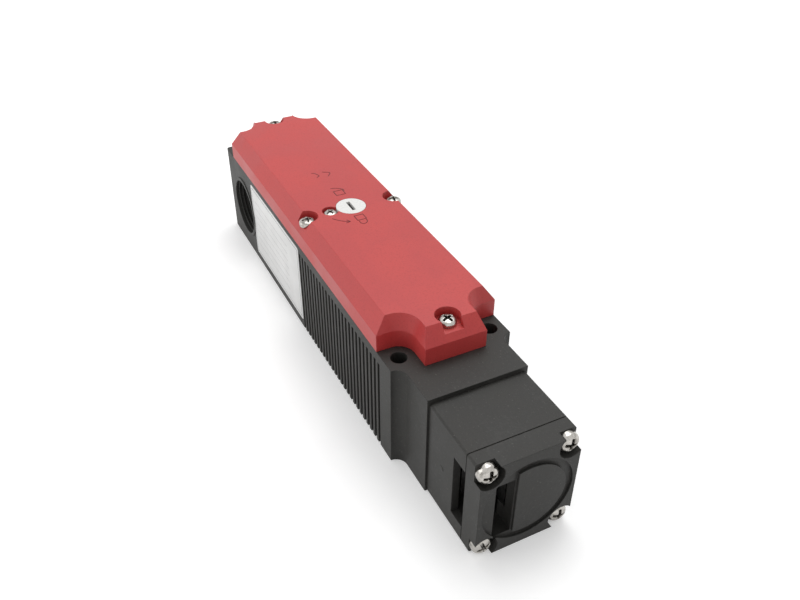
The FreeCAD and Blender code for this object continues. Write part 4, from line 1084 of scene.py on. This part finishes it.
@dataclass(frozen=True)
class CoilSpring:
    """A compression spring of round wire with closed ends, along one axis of the frame.

    Its low end sits on the switch's body; it is made at rest and rides on no body.
    """

    node: str
    pushed: str
    axis: str
    wire: float
    turns: float
    steps_per_turn: int = 40
    wire_columns: int = 12

    def build(self, wardrobe: Wardrobe) -> None:
        """Carry the wire's round section along a helix between the faces of the solid's box.

        The angle grows evenly. Nine tenths of the climb lie between the end turns, which stay nearly
        flat, and the other tenth is spread over the whole length.
        """
        low, high, middle = box_of(self.node)
        main = "xyz".index(self.axis)
        side = (main + 1) % 3
        radius = (high[side] - low[side]) / 2 - self.wire / 2
        angle = np.linspace(0.0, TURN * self.turns, int(self.turns * self.steps_per_turn))
        share = angle / angle[-1]
        flat = 0.8 / self.turns
        climb = 0.1 * share + 0.9 * np.clip((share - flat) / (1 - 2 * flat), 0.0, 1.0)
        out = np.roll(np.stack([np.zeros_like(angle), np.cos(angle), np.sin(angle)], axis=-1), main, axis=1)
        path = middle + radius * out
        path[:, main] = low[main] + self.wire / 2 + (high[main] - low[main] - self.wire) * climb
        half = np.full(len(angle), self.wire / 2)
        spring = wardrobe.add(f"{self.node}_wire", carried(path, out, half, half, self.wire_columns, False),
                              Slot.MECHANISM, "", self.node, sharp=60)
        seat, end = middle.copy(), middle.copy()
        seat[main], end[main] = low[main] + self.wire, high[main] - self.wire
        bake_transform(spring)


@dataclass(frozen=True)
class CoilWinding:
    """The copper winding between the flanges of the bobbin."""

    wire: float = 0.42 * MM
    inner: float = 4.66 * MM
    columns: int = 96
    steps_per_wire: int = 6

    def build(self, wardrobe: Wardrobe) -> None:
        """Turn a scalloped profile about the coil's axis.

        The outer radius is R - w / 2 + (w / 2) |sin(pi x / w)|, one scallop for each wire.
        """
        low, high, place = box_of("coil")
        length, outer = high[0] - low[0], (high[1] - low[1]) / 2
        count = int(length / self.wire) * self.steps_per_wire
        run = np.linspace(0.0, length, count)
        scallop = outer - 0.5 * self.wire * (1 - np.abs(np.sin(math.pi * run / self.wire)))
        radii = np.concatenate([scallop, [self.inner, self.inner]])
        heights = np.concatenate([run, [length, 0.0]])
        place[0] = low[0]
        shape = turned(radii, heights, self.columns, ring=True).moved(Facing.FORWARD.turn(0.0), place)
        wardrobe.add("coil_winding", shape, Slot.COIL, replaces="coil", sharp=50)


# ---- studio

@dataclass(frozen=True)
class Studio:
    """The camera, the pale floor and the soft lights."""

    azimuth: float = -26.71
    elevation: float = 36.78
    distance: float = 301.45 * MM
    roll: float = 0.25
    target: Point = (29.78 * MM, 8.57 * MM, 20.0 * MM)
    lens: float = 36.66
    floor_half: float = 4.0
    floor_colour: Colour = (0.90, 0.90, 0.90)
    floor_lift: float = 0.30
    lift_starts: float = 260.0
    lift_ends: float = 700.0
    sky: float = 0.55
    lamp_side: float = 0.6
    key_place: Point = (-0.20, 0.20, 0.85)
    key_watts: float = 3.9
    fill_place: Point = (-0.30, -0.85, 0.40)
    fill_watts: float = 1.8

    @staticmethod
    def facing(away: Vector) -> Matrix:
        """The turn of a camera or lamp that looks back along a direction."""
        return away.to_track_quat("Z", "Y").to_matrix().to_4x4()

    def camera(self) -> None:
        """Aim the camera at the target from its azimuth, elevation and distance."""
        azimuth, elevation = math.radians(self.azimuth), math.radians(self.elevation)
        away = Vector((math.cos(elevation) * math.cos(azimuth), math.cos(elevation) * math.sin(azimuth),
                       math.sin(elevation)))
        data = bpy.data.cameras.new("studio_camera")
        data.lens, data.sensor_width = self.lens, 36.0
        data.clip_start, data.clip_end = 0.01, 50.0
        spin = Matrix.Rotation(math.radians(self.roll), 4, "Z")
        place = Vector(self.target) + self.distance * away
        bpy.context.scene.camera = placed("studio_camera", data,
                                          Matrix.Translation(place) @ self.facing(away) @ spin)

    def floor(self) -> None:
        """A wide flat sheet under the switch, whose grey shows only where the switch shades it.

        Its own glow is lift near the switch and rises to 1 between two distances from the origin, so
        the sheet stays white as far as it reaches.
        """
        half = self.floor_half
        ends = [(-half, -half, 0.0), (half, -half, 0.0), (half, half, 0.0), (-half, half, 0.0)]
        mesh = bpy.data.meshes.new("studio_floor")
        mesh.from_pydata(ends, [], [(0, 1, 2, 3)])
        graph = Graph("pale_floor")
        fibres = graph.noise(graph.millimetres(), 0.08, 3.0)
        reach = graph.add("VectorMath", {0: graph.millimetres()}, operation="LENGTH")
        glow = graph.span(reach.outputs["Value"], self.lift_starts, self.lift_ends, self.floor_lift, 1.0)
        shade = tuple(c * 0.985 for c in self.floor_colour)
        graph.feed(graph.shader, {
            "Base Color": graph.blend(graph.span(fibres, 0.3, 0.7, 0.0, 1.0), self.floor_colour, shade),
            "Roughness": 0.9, "Specular IOR Level": 0.1, "Emission Color": WHITE,
            "Emission Strength": graph.maths("MULTIPLY", graph.background(), glow)})
        mesh.materials.append(graph.material)
        placed("studio_floor", mesh)

    def lamp(self, name: str, place: Point, watts: float) -> None:
        """A square soft light that faces the switch.

        Args:
            name: The lamp's name.
            place: Where it hangs.
            watts: Its power.
        """
        data = bpy.data.lights.new(name, "AREA")
        data.size = self.lamp_side
        data.energy = watts
        turn = self.facing(Vector(place) - Vector(self.target))
        placed(name, data, Matrix.Translation(Vector(place)) @ turn)

    def surroundings(self) -> None:
        """A soft even sky for the surfaces, and plain white where it is seen or mirrored."""
        graph = Graph("studio_world", world=True)
        dim, white = (graph.add("Background", {"Color": WHITE, "Strength": strength}).outputs[0]
                      for strength in (self.sky, 1.0))
        choice = graph.add("MixShader", {"Fac": graph.background(), 1: dim, 2: white})
        graph.add("OutputWorld", {"Surface": choice.outputs[0]})
        bpy.context.scene.world = graph.material

    def build(self) -> None:
        """Set the camera, the floor, the lights and the plain view transform."""
        self.camera()
        self.floor()
        self.surroundings()
        self.lamp("key_light", self.key_place, self.key_watts)
        self.lamp("fill_light", self.fill_place, self.fill_watts)
        bpy.context.scene.view_settings.view_transform = "Standard"


# ---- whole switch

def corners(bounds: tuple[Vector, Vector]) -> list[list[float]]:
    """The lowest and highest corner of a box as plain lists of numbers."""
    return [list(corner) for corner in bounds]


def main() -> None:
    """Build the switch's looks in order."""
    logging.basicConfig(level=logging.INFO, format="%(name)s: %(message)s")
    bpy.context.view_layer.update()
    Studio().build()
    wardrobe = Wardrobe()
    wardrobe.dress_solids()
    springs = (CoilSpring("rod_spring", "push_rod", "x", 0.9 * MM, 5.5),
               CoilSpring("lock_spring", "lock_lever", "z", 0.5 * MM, 9.0))
    for group in (Fasteners(), TypePlate(), CoverSymbols(), GateMarkAndSlotShade(), EntryThread(), *springs,
                  CoilWinding()):
        group.build(wardrobe)
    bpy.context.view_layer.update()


if __name__ == "__main__":
    main()
